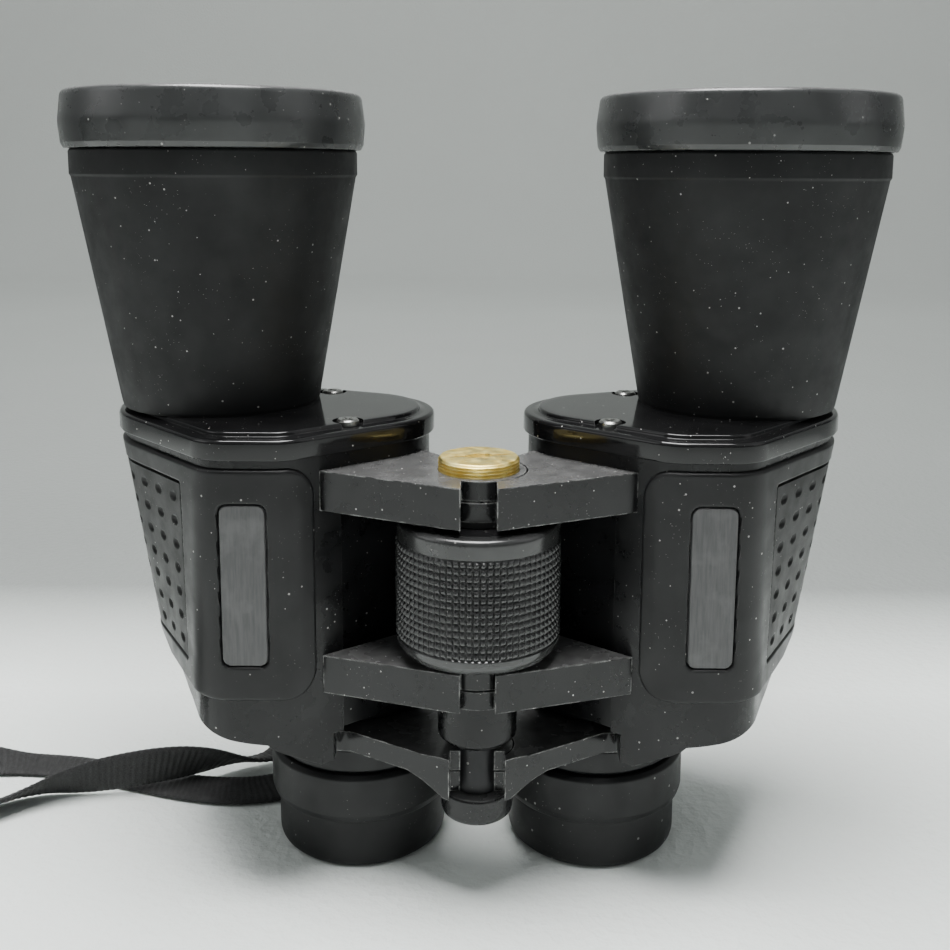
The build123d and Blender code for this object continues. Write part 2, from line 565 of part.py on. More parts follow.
upper_split = (UPPER_ARM_FOOT_Z + UPPER_ARM_TOP_Z) / 2
lower_split = (LOWER_ARM_FOOT_Z + LOWER_ARM_TOP_Z) / 2
half_gap = BODY_GAP / 2
left_upper_arm = hinge_arm(
    UPPER_ARM_FOOT_Z, UPPER_ARM_TOP_Z, UPPER_ARM_TIP_Y, UPPER_RING_RADIUS, HINGE_BORE_RADIUS,
    upper_split + half_gap, UPPER_ARM_TOP_Z)
right_upper_arm = hinge_arm(
    UPPER_ARM_FOOT_Z, UPPER_ARM_TOP_Z, UPPER_ARM_TIP_Y, UPPER_RING_RADIUS, STUB_RADIUS + RUN_CLEARANCE,
    UPPER_ARM_FOOT_Z, upper_split - half_gap)
left_lower_arm = hinge_arm(
    LOWER_ARM_FOOT_Z, LOWER_ARM_TOP_Z, LOWER_ARM_TIP_Y, LOWER_RING_RADIUS, LOWER_JOURNAL_RADIUS,
    lower_split + half_gap, LOWER_ARM_TOP_Z)
right_lower_arm = hinge_arm(
    LOWER_ARM_FOOT_Z, LOWER_ARM_TOP_Z, LOWER_ARM_TIP_Y, LOWER_RING_RADIUS,
    LOWER_JOURNAL_RADIUS + RUN_CLEARANCE, LOWER_ARM_FOOT_Z, lower_split - half_gap)
save("left_upper_hinge_arm", mirror(left_upper_arm, about=Plane.YZ))
save("right_upper_hinge_arm", right_upper_arm)
save("left_lower_hinge_arm", mirror(left_lower_arm, about=Plane.YZ))
save("right_lower_hinge_arm", right_lower_arm)

# ---- hinge, focus wheel and spindle ------------------------------------------------------------
stub_step_z = upper_split
stub = rod(STUB_RADIUS, STUB_FOOT_Z, stub_step_z, 0, HINGE_Y)
stub = stub + rod(HINGE_BORE_RADIUS, stub_step_z, STUB_TOP_Z, 0, HINGE_Y)
stub = stub + rod(STUB_PILOT_RADIUS, STUB_PILOT_FOOT_Z, STUB_FOOT_Z, 0, HINGE_Y)
stub = stub - rod(TRIPOD_THREAD_RADIUS, STUB_TOP_Z - TRIPOD_THREAD_DEPTH, STUB_TOP_Z + 1, 0, HINGE_Y)
save("hinge_stub", stub)

plug_radius = HINGE_BORE_RADIUS - RUN_CLEARANCE
groove_depth = 0.35
plug_profile = [(0, PLUG_FOOT_Z), (plug_radius, PLUG_FOOT_Z)]
for groove_z in (UPPER_ARM_TOP_Z + 0.4, UPPER_ARM_TOP_Z + 1.2):
    plug_profile += [
        (plug_radius, groove_z), (plug_radius - groove_depth, groove_z + 0.2),
        (plug_radius - groove_depth, groove_z + 0.4), (plug_radius, groove_z + 0.6)]
plug_profile += [(plug_radius, PLUG_TOP_Z - 0.5), (plug_radius - 0.5, PLUG_TOP_Z), (0, PLUG_TOP_Z)]
plug = turned(plug_profile, 0, HINGE_Y)
plug = plug - Pos(0, HINGE_Y, PLUG_TOP_Z) * Rot(0, 0, 12) * Box(10.0, 1.8, 2.4)
save("hinge_plug", plug)

hinge_tube = turned([
    (SPINDLE_BORE_RADIUS, LOWER_TUBE_FOOT_Z), (LOWER_TUBE_RADIUS - 0.6, LOWER_TUBE_FOOT_Z),
    (LOWER_TUBE_RADIUS, LOWER_TUBE_FOOT_Z + 0.6), (LOWER_TUBE_RADIUS, LOWER_TUBE_SHOULDER_Z),
    (LOWER_JOURNAL_RADIUS, LOWER_TUBE_SHOULDER_Z), (LOWER_JOURNAL_RADIUS, LOWER_ARM_TOP_Z),
    (TUBE_PILOT_RADIUS, LOWER_ARM_TOP_Z), (TUBE_PILOT_RADIUS, TUBE_PILOT_TOP_Z),
    (SPINDLE_BORE_RADIUS, TUBE_PILOT_TOP_Z)], 0, HINGE_Y)
save("hinge_tube", hinge_tube)
upper_washer = ring(
    WASHER_RADIUS, STUB_PILOT_RADIUS, WHEEL_TOP_Z + WASHER_GAP, UPPER_ARM_FOOT_Z - WASHER_GAP, 0, HINGE_Y)
lower_washer = ring(
    WASHER_RADIUS, TUBE_PILOT_RADIUS, LOWER_ARM_TOP_Z + WASHER_GAP, WHEEL_FOOT_Z - WASHER_GAP, 0, HINGE_Y)
save("wheel_washers", upper_washer, lower_washer)

tube_bore = TUBE_PILOT_RADIUS + RUN_CLEARANCE + 0.02
pilot_bore = STUB_PILOT_RADIUS + RUN_CLEARANCE
pilot_bore_foot = STUB_PILOT_FOOT_Z - 0.2
wheel_core = turned([
    (0, WHEEL_BORE_TOP_Z), (SPINDLE_BORE_RADIUS, WHEEL_BORE_TOP_Z), (SPINDLE_BORE_RADIUS, WHEEL_BORE_FOOT_Z),
    (tube_bore, WHEEL_BORE_FOOT_Z), (tube_bore, WHEEL_FOOT_Z), (WHEEL_CORE_RADIUS, WHEEL_FOOT_Z),
    (WHEEL_CORE_RADIUS, WHEEL_TOP_Z), (pilot_bore, WHEEL_TOP_Z), (pilot_bore, pilot_bore_foot),
    (0, pilot_bore_foot)], 0, HINGE_Y)
save("focus_wheel_core", wheel_core)
sleeve = rod(WHEEL_RADIUS, WHEEL_FOOT_Z, WHEEL_TOP_Z, 0, HINGE_Y)
sleeve = fillet(edges_at(sleeve, WHEEL_TOP_Z), 2.6)
sleeve = fillet(edges_at(sleeve, WHEEL_FOOT_Z), 2.0)
sleeve = sleeve - rod(WHEEL_CORE_RADIUS, WHEEL_FOOT_Z - 1, WHEEL_TOP_Z + 1, 0, HINGE_Y)
save("focus_wheel_sleeve", sleeve)

spindle = rod(SPINDLE_THREAD_RADIUS, SPINDLE_HUB_TOP_Z, SPINDLE_TOP_Z, 0, HINGE_Y)
spindle = spindle + rod(SPINDLE_HUB_RADIUS, BRIDGE_HUB_FOOT_Z, SPINDLE_HUB_TOP_Z, 0, HINGE_Y)
spindle = spindle + rod(SPINDLE_STUD_RADIUS, SPINDLE_STUD_FOOT_Z, BRIDGE_HUB_FOOT_Z, 0, HINGE_Y)
save("focus_spindle", spindle)
cap = rod(CAP_RADIUS, CAP_FOOT_Z, CAP_TOP_Z, 0, HINGE_Y)
cap = fillet(edges_at(cap, CAP_FOOT_Z), 2.2)
cap = cap - rod(SPINDLE_STUD_RADIUS, SPINDLE_STUD_FOOT_Z, CAP_TOP_Z + 1, 0, HINGE_Y)
save("spindle_cap", cap)


def bridge_arm(bore, knuckle_low, knuckle_high):
    """Arm that carries an eyepiece on the focusing spindle."""
    plan = [
        (BRIDGE_HALF_SLOT, -31.6), (33.0, -15.4), (EYEPIECE_X, EYEPIECE_Y), (9.5, -5.5), (2.5, -17.5),
        (BRIDGE_HALF_SLOT, -18.5)]
    elevation = [
        (0, BRIDGE_HUB_FOOT_Z), (7.2, BRIDGE_HUB_FOOT_Z), (12, 28.1), (15.5, BRIDGE_FOOT_Z),
        (FAR, BRIDGE_FOOT_Z), (FAR, BRIDGE_TOP_Z), (12, BRIDGE_TOP_Z), (8, BRIDGE_HUB_TOP_Z),
        (0, BRIDGE_HUB_TOP_Z)]
    side_view = extrude(Plane.XZ * make_face(Polyline(*elevation, close=True)), FAR, both=True)
    blank = plate(plan, BRIDGE_HUB_FOOT_Z, BRIDGE_HUB_TOP_Z) & side_view
    arm = blank - rod(BRIDGE_HUB_RADIUS + BODY_GAP, 0, FAR, 0, HINGE_Y)
    arm = arm + (blank & plate(HALF_SPACE, knuckle_low, knuckle_high))
    arm = arm + rod(BRIDGE_RING_RADIUS, BRIDGE_FOOT_Z, BRIDGE_TOP_Z, EYEPIECE_X, EYEPIECE_Y)
    knuckle = rod(BRIDGE_HUB_RADIUS, knuckle_low, knuckle_high, 0, HINGE_Y)
    front_slot = plate([
        (-BRIDGE_HALF_SLOT, -FAR), (BRIDGE_HALF_SLOT, -FAR), (BRIDGE_HALF_SLOT, BRIDGE_SLOT_Y),
        (-BRIDGE_HALF_SLOT, BRIDGE_SLOT_Y)], 0, FAR)
    arm = arm + knuckle - front_slot - rod(bore, 0, FAR, 0, HINGE_Y)
    arm = arm - rod(BRIDGE_RING_RADIUS, 0, BRIDGE_FOOT_Z, EYEPIECE_X, EYEPIECE_Y)
    return arm - rod(OCULAR_TUBE_RADIUS, 0, FAR, EYEPIECE_X, EYEPIECE_Y)


bridge_split = (BRIDGE_HUB_FOOT_Z + BRIDGE_HUB_TOP_Z) / 2
left_bridge = bridge_arm(SPINDLE_HUB_RADIUS, bridge_split + half_gap, BRIDGE_HUB_TOP_Z)
right_bridge = bridge_arm(SPINDLE_HUB_RADIUS + RUN_CLEARANCE, BRIDGE_HUB_FOOT_Z, bridge_split - half_gap)
save("left_bridge_arm", mirror(left_bridge, about=Plane.YZ))
save("right_bridge_arm", right_bridge)

# ---- strap lugs and neck strap -------------------------------------------------------------------------
lug_face = RectangleRounded(LUG_WIDTH, LUG_END_Y - LUG_START_Y, LUG_CORNER)
lug = Pos(LUG_X, (LUG_START_Y + LUG_END_Y) / 2, LUG_FOOT_Z) * extrude(lug_face, LUG_THICKNESS)
lug_slot = Box(LUG_SLOT_WIDTH, LUG_SLOT_DEPTH, LUG_THICKNESS + 2)
lug = lug - Pos(LUG_X, LUG_SLOT_Y, LUG_FOOT_Z + LUG_THICKNESS / 2) * lug_slot
save_pair("strap_lug", lug - filled_housing)


def corner_radii(route):
    """Arc radius at each inner point: 0.45 of its shorter run over the tangent of half its turn."""
    radii = []
    for before, here, after in zip(route, route[1:], route[2:]):
        run_in = Vector(*here) - Vector(*before)
        run_out = Vector(*after) - Vector(*here)
        turn = radians(run_in.get_angle(run_out))
        radii.append(0.45 * min(run_in.length, run_out.length) / tan(turn / 2))
    return radii


def strap_tube(name, route, coil):
    """Round tube along straight runs joined by tangent arcs, ending on the coil."""
    radii = corner_radii(route)
    path = FilletPolyline(*route, radius=radii)
    start_plane = Plane(origin=path @ 0, z_dir=path % 0)
    tube = sweep(start_plane * Circle(STRAP_TUBE_RADIUS), path=path)
    print(name, "radii", [round(radius, 1) for radius in radii], "length", round(path.length, 1))
    print(name, "volume", round(tube.volume), "section times length",
          round(pi * STRAP_TUBE_RADIUS**2 * path.length))
    return tube - coil


coil = rod(COIL_RADIUS, 0, COIL_HEIGHT, COIL_X, COIL_Y)
save("strap_coil", coil)
save("left_strap_run", strap_tube("left_strap_run", LEFT_STRAP_ROUTE, coil))
save("right_strap_run", strap_tube("right_strap_run", RIGHT_STRAP_ROUTE, coil))
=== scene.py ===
import json
from bisect import bisect_left
from math import atan2, ceil, cos, degrees, exp, floor, pi, radians, sin, sqrt

import bmesh
import bpy
from mathutils import Matrix, Vector, noise
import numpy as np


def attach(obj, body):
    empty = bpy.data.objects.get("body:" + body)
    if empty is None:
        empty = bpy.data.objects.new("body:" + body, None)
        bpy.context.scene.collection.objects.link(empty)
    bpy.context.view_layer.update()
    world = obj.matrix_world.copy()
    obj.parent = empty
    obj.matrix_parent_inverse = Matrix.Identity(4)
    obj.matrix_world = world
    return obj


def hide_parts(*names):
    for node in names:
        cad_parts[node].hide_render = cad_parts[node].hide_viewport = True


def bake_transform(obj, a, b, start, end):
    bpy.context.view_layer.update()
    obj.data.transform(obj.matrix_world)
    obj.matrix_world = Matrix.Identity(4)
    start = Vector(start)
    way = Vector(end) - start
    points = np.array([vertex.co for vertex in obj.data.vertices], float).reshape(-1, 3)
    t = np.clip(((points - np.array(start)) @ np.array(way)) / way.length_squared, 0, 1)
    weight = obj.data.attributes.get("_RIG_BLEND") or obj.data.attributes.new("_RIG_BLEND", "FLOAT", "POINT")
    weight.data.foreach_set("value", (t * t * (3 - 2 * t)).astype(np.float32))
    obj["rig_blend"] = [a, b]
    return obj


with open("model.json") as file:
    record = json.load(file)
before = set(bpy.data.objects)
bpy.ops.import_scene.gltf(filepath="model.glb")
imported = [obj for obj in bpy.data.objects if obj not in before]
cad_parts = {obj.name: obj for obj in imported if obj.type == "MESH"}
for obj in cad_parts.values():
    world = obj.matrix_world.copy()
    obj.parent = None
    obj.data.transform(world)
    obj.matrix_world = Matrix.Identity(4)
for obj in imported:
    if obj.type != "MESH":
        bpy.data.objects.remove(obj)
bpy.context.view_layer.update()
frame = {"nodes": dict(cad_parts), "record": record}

# Porro prism binocular standing on its eyecups. Sizes below are in millimetres in the CAD's own
# frame, and MM turns them into metres. -Y is the side with the focus wheel.
MM = 0.001
HINGE_Y = -23.8
OBJECTIVE = (61.0, 7.5)
EYEPIECE = (28.1, 2.3)
COVER_FOOT = 100.4
TAPER_FOOT = 32.0
# The housing's outline runs round four circles of (x, y, radius), given at its top and at its foot.
STRAIGHT_LOBES = ((29.8, 0.2, 18.2), (43.5, -20.6, 10.2), (52.0, -20.6, 10.2))
LOBES_TOP = (*STRAIGHT_LOBES, (61.0, 7.5, 22.6))
LOBES_FOOT = (*STRAIGHT_LOBES, (53.3, 6.2, 19.3))
SIDES = (("left", -1), ("right", 1))


def add_object(name, data):
    item = bpy.data.objects.new(name, data)
    bpy.context.scene.collection.objects.link(item)
    return item


# ---- camera ----
CAMERA_LENS = 43.63
CAMERA_SHIFT = (-0.0023, -0.1293)
CAMERA_PLACE = (-0.5, -262.0, 160.2)
CAMERA_DIP = 9.05
CAMERA_ROLL = 0.006


def make_camera():
    data = bpy.data.cameras.new("photo_camera")
    data.lens = CAMERA_LENS
    data.shift_x, data.shift_y = CAMERA_SHIFT
    data.clip_start = 0.01
    camera = add_object("photo_camera", data)
    tilt = Matrix.Rotation(radians(90 - CAMERA_DIP), 4, "X")
    roll = Matrix.Rotation(CAMERA_ROLL, 4, "Z")
    camera.matrix_world = Matrix.Translation(Vector(CAMERA_PLACE) * MM) @ tilt @ roll
    bpy.context.scene.camera = camera


make_camera()


# ---- mesh helpers ----
# A fillet takes up no more than this share of either side of its corner.
FILLET_SHARE = 0.48
WALK_START_X = 35.0


def clamped(share):
    return max(0.0, min(1.0, share))


def add_mesh(name, verts, faces, sharp=35.0):
    """Mesh object from points in millimetres."""
    mesh = bpy.data.meshes.new(name)
    mesh.from_pydata([tuple(c * MM for c in v) for v in verts], [], faces)
    mesh.validate()
    mesh.shade_smooth()
    if sharp:
        mesh.set_sharp_from_angle(angle=radians(sharp))
    return add_object(name, mesh)


def finish_piece(piece, body, slot, nodes=(), material=None):
    """Give a piece the material of its slot, attach it to the body it rides on and hide the CAD nodes it
    stands for.
    """
    piece.data.materials.clear()
    piece.data.materials.append(material or slot_material[slot])
    if body:
        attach(piece, body)
    if nodes:
        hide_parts(*nodes)


def rounded_profile(corners, steps=5):
    """Points of a line of (a, b, fillet radius) corners, with the rounded corners as arcs."""
    points = []
    count = len(corners)
    for index, (x, y, radius) in enumerate(corners):
        here = Vector((x, y))
        if radius <= 0 or index in (0, count - 1):
            points.append((x, y))
            continue
        to_before = Vector(corners[index - 1][:2]) - here
        to_after = Vector(corners[index + 1][:2]) - here
        half_angle = to_before.angle(to_after) / 2
        full_cut = radius / abs(sin(half_angle) / cos(half_angle))
        cut = min(full_cut, FILLET_SHARE * to_before.length, FILLET_SHARE * to_after.length)
        start = here + to_before.normalized() * cut
        end = here + to_after.normalized() * cut
        for step in range(steps + 1):
            t = step / steps
            point = start * (1 - t) ** 2 + here * 2 * t * (1 - t) + end * t**2
            points.append((point.x, point.y))
    return points


def ring_faces(rows, count, closed=False):
    """Faces between rings of count points each. The last ring joins the first, or both get flat caps."""
    faces = []
    for row in range(rows if closed else rows - 1):
        after = (row + 1) % rows
        for k in range(count):
            m = (k + 1) % count
            faces.append((row * count + k, row * count + m, after * count + m, after * count + k))
    if not closed:
        faces.append(tuple(range(count))[::-1])
        faces.append(tuple((rows - 1) * count + k for k in range(count)))
    return faces


def lathe(name, profile, centre, segments=192, closed=True, wobble=None, sharp=35.0):
    """Turned piece from (radius, z) points. An open profile gets a flat cap at each end."""
    x0, y0 = centre
    verts = []
    for index, (radius, z) in enumerate(profile):
        for k in range(segments):
            angle = 2 * pi * k / segments
            r = radius if wobble is None else wobble(index, radius, z, angle)
            verts.append((x0 + r * cos(angle), y0 + r * sin(angle), z))
    return add_mesh(name, verts, ring_faces(len(profile), segments, closed), sharp)


def cut_away(piece, cutters):
    """Take the cutter pieces out of a piece, and delete them."""
    for cutter in cutters:
        change = piece.modifiers.new("cut", "BOOLEAN")
        change.operation = "DIFFERENCE"
        change.solver = "EXACT"
        change.object = cutter
    bpy.context.view_layer.update()
    evaluated = piece.evaluated_get(bpy.context.evaluated_depsgraph_get())
    mesh = bpy.data.meshes.new_from_object(evaluated)
    piece.modifiers.clear()
    piece.data = mesh
    mesh.shade_smooth()
    mesh.set_sharp_from_angle(angle=radians(30))
    for cutter in cutters:
        bpy.data.objects.remove(cutter)


def outline(z, grow, arc_steps=14, line_steps=6, side=1):
    """Housing outline at height z, moved outwards by grow, as points with a fixed count."""
    share = (COVER_FOOT - z) / (COVER_FOOT - TAPER_FOOT)
    circles = []
    for top, foot in zip(LOBES_TOP, LOBES_FOOT):
        circles.append([a + (b - a) * share for a, b in zip(top, foot)])
    normals = []
    for (x1, y1, r1), (x2, y2, r2) in zip(circles, circles[1:] + circles[:1]):
        run = Vector((x2 - x1, y2 - y1))
        along = run.normalized()
        across = Vector((along.y, -along.x))
        sine = (r1 - r2) / run.length
        normals.append(across * sqrt(1 - sine**2) + along * sine)
    points = []
    for index, (x, y, radius) in enumerate(circles):
        before, after = normals[index - 1], normals[index]
        start = atan2(before.y, before.x)
        turn = (atan2(after.y, after.x) - start) % (2 * pi)
        for step in range(arc_steps + 1):
            angle = start + turn * step / arc_steps
            points.append(Vector((x + (radius + grow) * cos(angle), y + (radius + grow) * sin(angle))))
        x2, y2, r2 = circles[(index + 1) % len(circles)]
        leave = Vector((x, y)) + after * (radius + grow)
        reach = Vector((x2, y2)) + after * (r2 + grow)
        for step in range(1, line_steps):
            points.append(leave.lerp(reach, step / line_steps))
    return [(side * p.x, p.y) for p in points]


def stack(name, levels, side):
    """Closed solid through housing outlines at (grow, z, outline height) levels."""
    rings = [[(x, y, z) for x, y in outline(at, grow, side=side)] for grow, z, at in levels]
    verts = [point for ring in rings for point in ring]
    faces = [face[::side] for face in ring_faces(len(rings), len(rings[0]))]
    return add_mesh(name, verts, faces)


def running_lengths(line):
    lengths = [0.0]
    for a, b in zip(line, line[1:]):
        lengths.append(lengths[-1] + (b - a).length)
    return lengths


def place_along(line, lengths, distance):
    """Point at a running length along a line of points, and the line's direction there."""
    k = min(max(bisect_left(lengths, distance) - 1, 0), len(lengths) - 2)
    a, b = line[k], line[k + 1]
    run = lengths[k + 1] - lengths[k]
    share = (distance - lengths[k]) / run if run else 0.0
    return a.lerp(b, share), (b - a).normalized()


def walk(z):
    """Points and running length round the housing from its front at WALK_START_X, outwards and back."""
    line = [Vector((abs(x), y)) for x, y in outline(z, 0.0, 40, 40)]
    on_front = [k for k, point in enumerate(line) if point.y <= -5]
    front = min(on_front, key=lambda k: abs(line[k].x - WALK_START_X))
    line = line[front:] + line[:front]
    return line, running_lengths(line)


# Height of the skin's border points, which end it under the wall's surface.
LEFT_OUT_HEIGHT = -0.4


def skin(name, side, z_low, z_high, span_at, height_at, step=0.4):
    """Raised skin on the housing wall. span_at(z) gives its (start, end) running lengths, and
    height_at(u, z, wall point) its height over the wall; it is left out where that is None."""
    rows = int(ceil((z_high - z_low) / step)) + 1
    widest = max(span_at(z_low)[1] - span_at(z_low)[0], span_at(z_high)[1] - span_at(z_high)[0])
    cols = int(ceil(widest / step)) + 1
    verts, keep = [], []
    for row in range(rows):
        z = z_low + (z_high - z_low) * row / (rows - 1)
        line, lengths = walk(z)
        start, end = span_at(z)
        for col in range(cols):
            u = start + (end - start) * col / (cols - 1)
            point, tangent = place_along(line, lengths, u)
            normal = Vector((tangent.y, -tangent.x))
            height = height_at(u, z, point)
            keep.append(height is not None)
            point = point + normal * (height if height is not None else LEFT_OUT_HEIGHT)
            verts.append((side * point.x, point.y, z))
    faces = []
    for row in range(rows - 1):
        for col in range(cols - 1):
            a = row * cols + col
            quad = (a, a + 1, a + cols + 1, a + cols)
            if any(keep[i] for i in quad):
                faces.append(quad[::side])
    used = sorted({i for face in faces for i in face})
    renumber = {old: new for new, old in enumerate(used)}
    return add_mesh(name, [verts[i] for i in used], [tuple(renumber[i] for i in f) for f in faces], 60.0)


# The housing's underside sweeps up to the outer wall in a long curve that steepens outwards.
CORNER_FOOT_Z, CORNER_RISE, CORNER_POWER = 37.2, 16.0, 2.6
CORNER_START_X, CORNER_END_X = 38.0, 77.0
# Cuts across the large faces give them points to follow it with.
CUT_START_X, CUT_PITCH_X, CUTS_X = 34.0, 2.0, 23
CUT_START_Z, CUT_PITCH_Z, CUTS_Z = 39.0, 2.2, 10
# Points beyond LIFT_START_X, over the skirt and up to LIFT_REACH over the curve are raised.
LIFT_START_X, LIFT_REACH, SKIRT_TOP = 33.0, 2.5, 36.9
# A shell's points over INSIDE_Z and further in than WALL are its inside, kept FLOOR over the curve.
INSIDE_Z, WALL, FLOOR = 38.7, 1.3, 2.0
# Tolerances in metres.
WELD, SHORTEST_EDGE, ON_PLANE = 2e-5, 1e-6, 1e-7


def corner_floor(x):
    """Height of the housing's underside at a distance x from the middle plane."""
    share = (abs(x) - CORNER_START_X) / (CORNER_END_X - CORNER_START_X)
    return CORNER_FOOT_Z + CORNER_RISE * clamped(share) ** CORNER_POWER


def slice_mesh(work, place, normal):
    """Cut a mesh's faces where they cross a plane, and keep both sides."""
    everything = work.verts[:] + work.edges[:] + work.faces[:]
    bmesh.ops.bisect_plane(work, geom=everything, dist=ON_PLANE, plane_co=place, plane_no=normal)


def lift_corner(work, clearance, shell):
    """Raise what lies below the corner curve on to it; inner faces of a shell stay a wall above it."""
    for step in range(CUTS_X):
        for side in (-1, 1):
            slice_mesh(work, (side * (CUT_START_X + CUT_PITCH_X * step) * MM, 0, 0), (1, 0, 0))
    for step in range(CUTS_Z):
        slice_mesh(work, (0, 0, (CUT_START_Z + CUT_PITCH_Z * step) * MM), (0, 0, 1))
    for vertex in work.verts:
        x, y, z = vertex.co / MM
        lowest = corner_floor(x) + clearance
        if z > lowest + LIFT_REACH or abs(x) < LIFT_START_X or z < SKIRT_TOP:
            continue
        if shell and z > INSIDE_Z:
            squared = min((abs(x) - px) ** 2 + (y - py) ** 2 for px, py in outline(z, 0.0, 30, 24))
            if squared > WALL**2:
                lowest += FLOOR
        vertex.co.z = max(z, lowest) * MM
    bmesh.ops.remove_doubles(work, verts=work.verts, dist=WELD)
    bmesh.ops.dissolve_degenerate(work, edges=work.edges, dist=SHORTEST_EDGE)


EDGE_SEGMENTS = 3
EDGE_ANGLE = 32.0


def softened(node, width, corner=None):
    """Copy of a CAD node's mesh with rounded edges, in the node's place. corner is lift_corner's
    clearance and shell, for a piece that follows the corner curve."""
    mesh = frame["nodes"][node].data.copy()
    piece = add_object(f"{node}_finished", mesh)
    work = bmesh.new()
    work.from_mesh(mesh)
    bmesh.ops.remove_doubles(work, verts=work.verts, dist=SHORTEST_EDGE)
    bmesh.ops.dissolve_limit(work, angle_limit=radians(1.0), verts=work.verts, edges=work.edges)
    if corner:
        lift_corner(work, *corner)
    work.to_mesh(mesh)
    work.free()
    for name in [a.name for a in mesh.attributes if a.name in ("custom_normal", "sharp_edge")]:
        mesh.attributes.remove(mesh.attributes[name])
    bevel = piece.modifiers.new("edges", "BEVEL")
    bevel.width = width * MM
    bevel.segments = EDGE_SEGMENTS
    bevel.limit_method = "ANGLE"
    bevel.angle_limit = radians(EDGE_ANGLE)
    mesh.shade_smooth()
    mesh.set_sharp_from_angle(angle=radians(50))
    weighted = piece.modifiers.new("normals", "WEIGHTED_NORMAL")
    weighted.keep_sharp = True
    return piece


# ---- materials ----
class Nodes:
    """Small helper that adds and joins shader nodes."""

    def __init__(self, name):
        self.material = bpy.data.materials.new(name)
        self.material.use_nodes = True
        self.tree = self.material.node_tree
        self.shader = self.tree.nodes["Principled BSDF"]
        self.place = self.add("ShaderNodeTexCoord").outputs["Object"]

    def add(self, kind, **values):
        node = self.tree.nodes.new(kind)
        for key, value in values.items():
            if hasattr(node, key):
                setattr(node, key, value)
            else:
                node.inputs[key].default_value = value
        return node

    def join(self, value, socket):
        """Feed a socket with another node's output or with a constant."""
        if isinstance(value, (int, float, tuple)):
            socket.default_value = value
        else:
            self.tree.links.new(value, socket)

    def shade(self, name, value):
        """Feed the shader's own socket of that name."""
        self.join(value, self.shader.inputs[name])

    def noise(self, size_mm, detail=4.0, roughness=0.55, stretch=None):
        node = self.add("ShaderNodeTexNoise", Scale=1 / (size_mm * MM), Detail=detail, Roughness=roughness)
        if stretch:
            mapping = self.add("ShaderNodeMapping")
            mapping.inputs["Scale"].default_value = stretch
            self.join(self.place, mapping.inputs["Vector"])
            self.join(mapping.outputs[0], node.inputs["Vector"])
        else:
            self.join(self.place, node.inputs["Vector"])
        return node.outputs["Fac"]

    def voronoi(self, size_mm, output="Distance"):
        node = self.add("ShaderNodeTexVoronoi", Scale=1 / (size_mm * MM))
        self.join(self.place, node.inputs["Vector"])
        return node.outputs[output]

    def ramp(self, value, low, high, out_low=0.0, out_high=1.0):
        limits = {"From Min": low, "From Max": high, "To Min": out_low, "To Max": out_high}
        node = self.add("ShaderNodeMapRange", clamp=True, **limits)
        self.join(value, node.inputs["Value"])
        return node.outputs["Result"]

    def math(self, operation, a, b):
        node = self.add("ShaderNodeMath", operation=operation)
        for socket, value in zip(node.inputs, (a, b)):
            self.join(value, socket)
        return node.outputs[0]

    def mix(self, factor, a, b):
        node = self.add("ShaderNodeMix", data_type="RGBA")
        self.join(factor, node.inputs["Factor"])
        for key, value in ((6, a), (7, b)):
            self.join((*value, 1.0) if isinstance(value, tuple) else value, node.inputs[key])
        return node.outputs[2]

    def edges(self, width_mm):
        """1 along the piece's outer and inner edges, 0 away from them."""
        rounded = self.add("ShaderNodeBevel", samples=6, Radius=width_mm * MM)
        flat = self.add("ShaderNodeNewGeometry").outputs["Normal"]
        dot = self.add("ShaderNodeVectorMath", operation="DOT_PRODUCT")
        self.join(rounded.outputs[0], dot.inputs[0])
        self.join(flat, dot.inputs[1])
        return self.ramp(dot.outputs["Value"], 0.992, 0.90)

    def bump(self, height, distance_mm, strength, before=None):
        node = self.add("ShaderNodeBump", Strength=strength, Distance=distance_mm * MM)
        self.join(height, node.inputs["Height"])
        if before is not None:
            self.join(before, node.inputs["Normal"])
        return node.outputs["Normal"]


MOTTLE = 0.25
SPECK_COLOUR = (0.50, 0.49, 0.47)
# Colour of the light film on upward faces: settled dust together with a painted top highlight.
TOP_DUST_AND_HIGHLIGHT_COLOUR = (0.15, 0.15, 0.148)


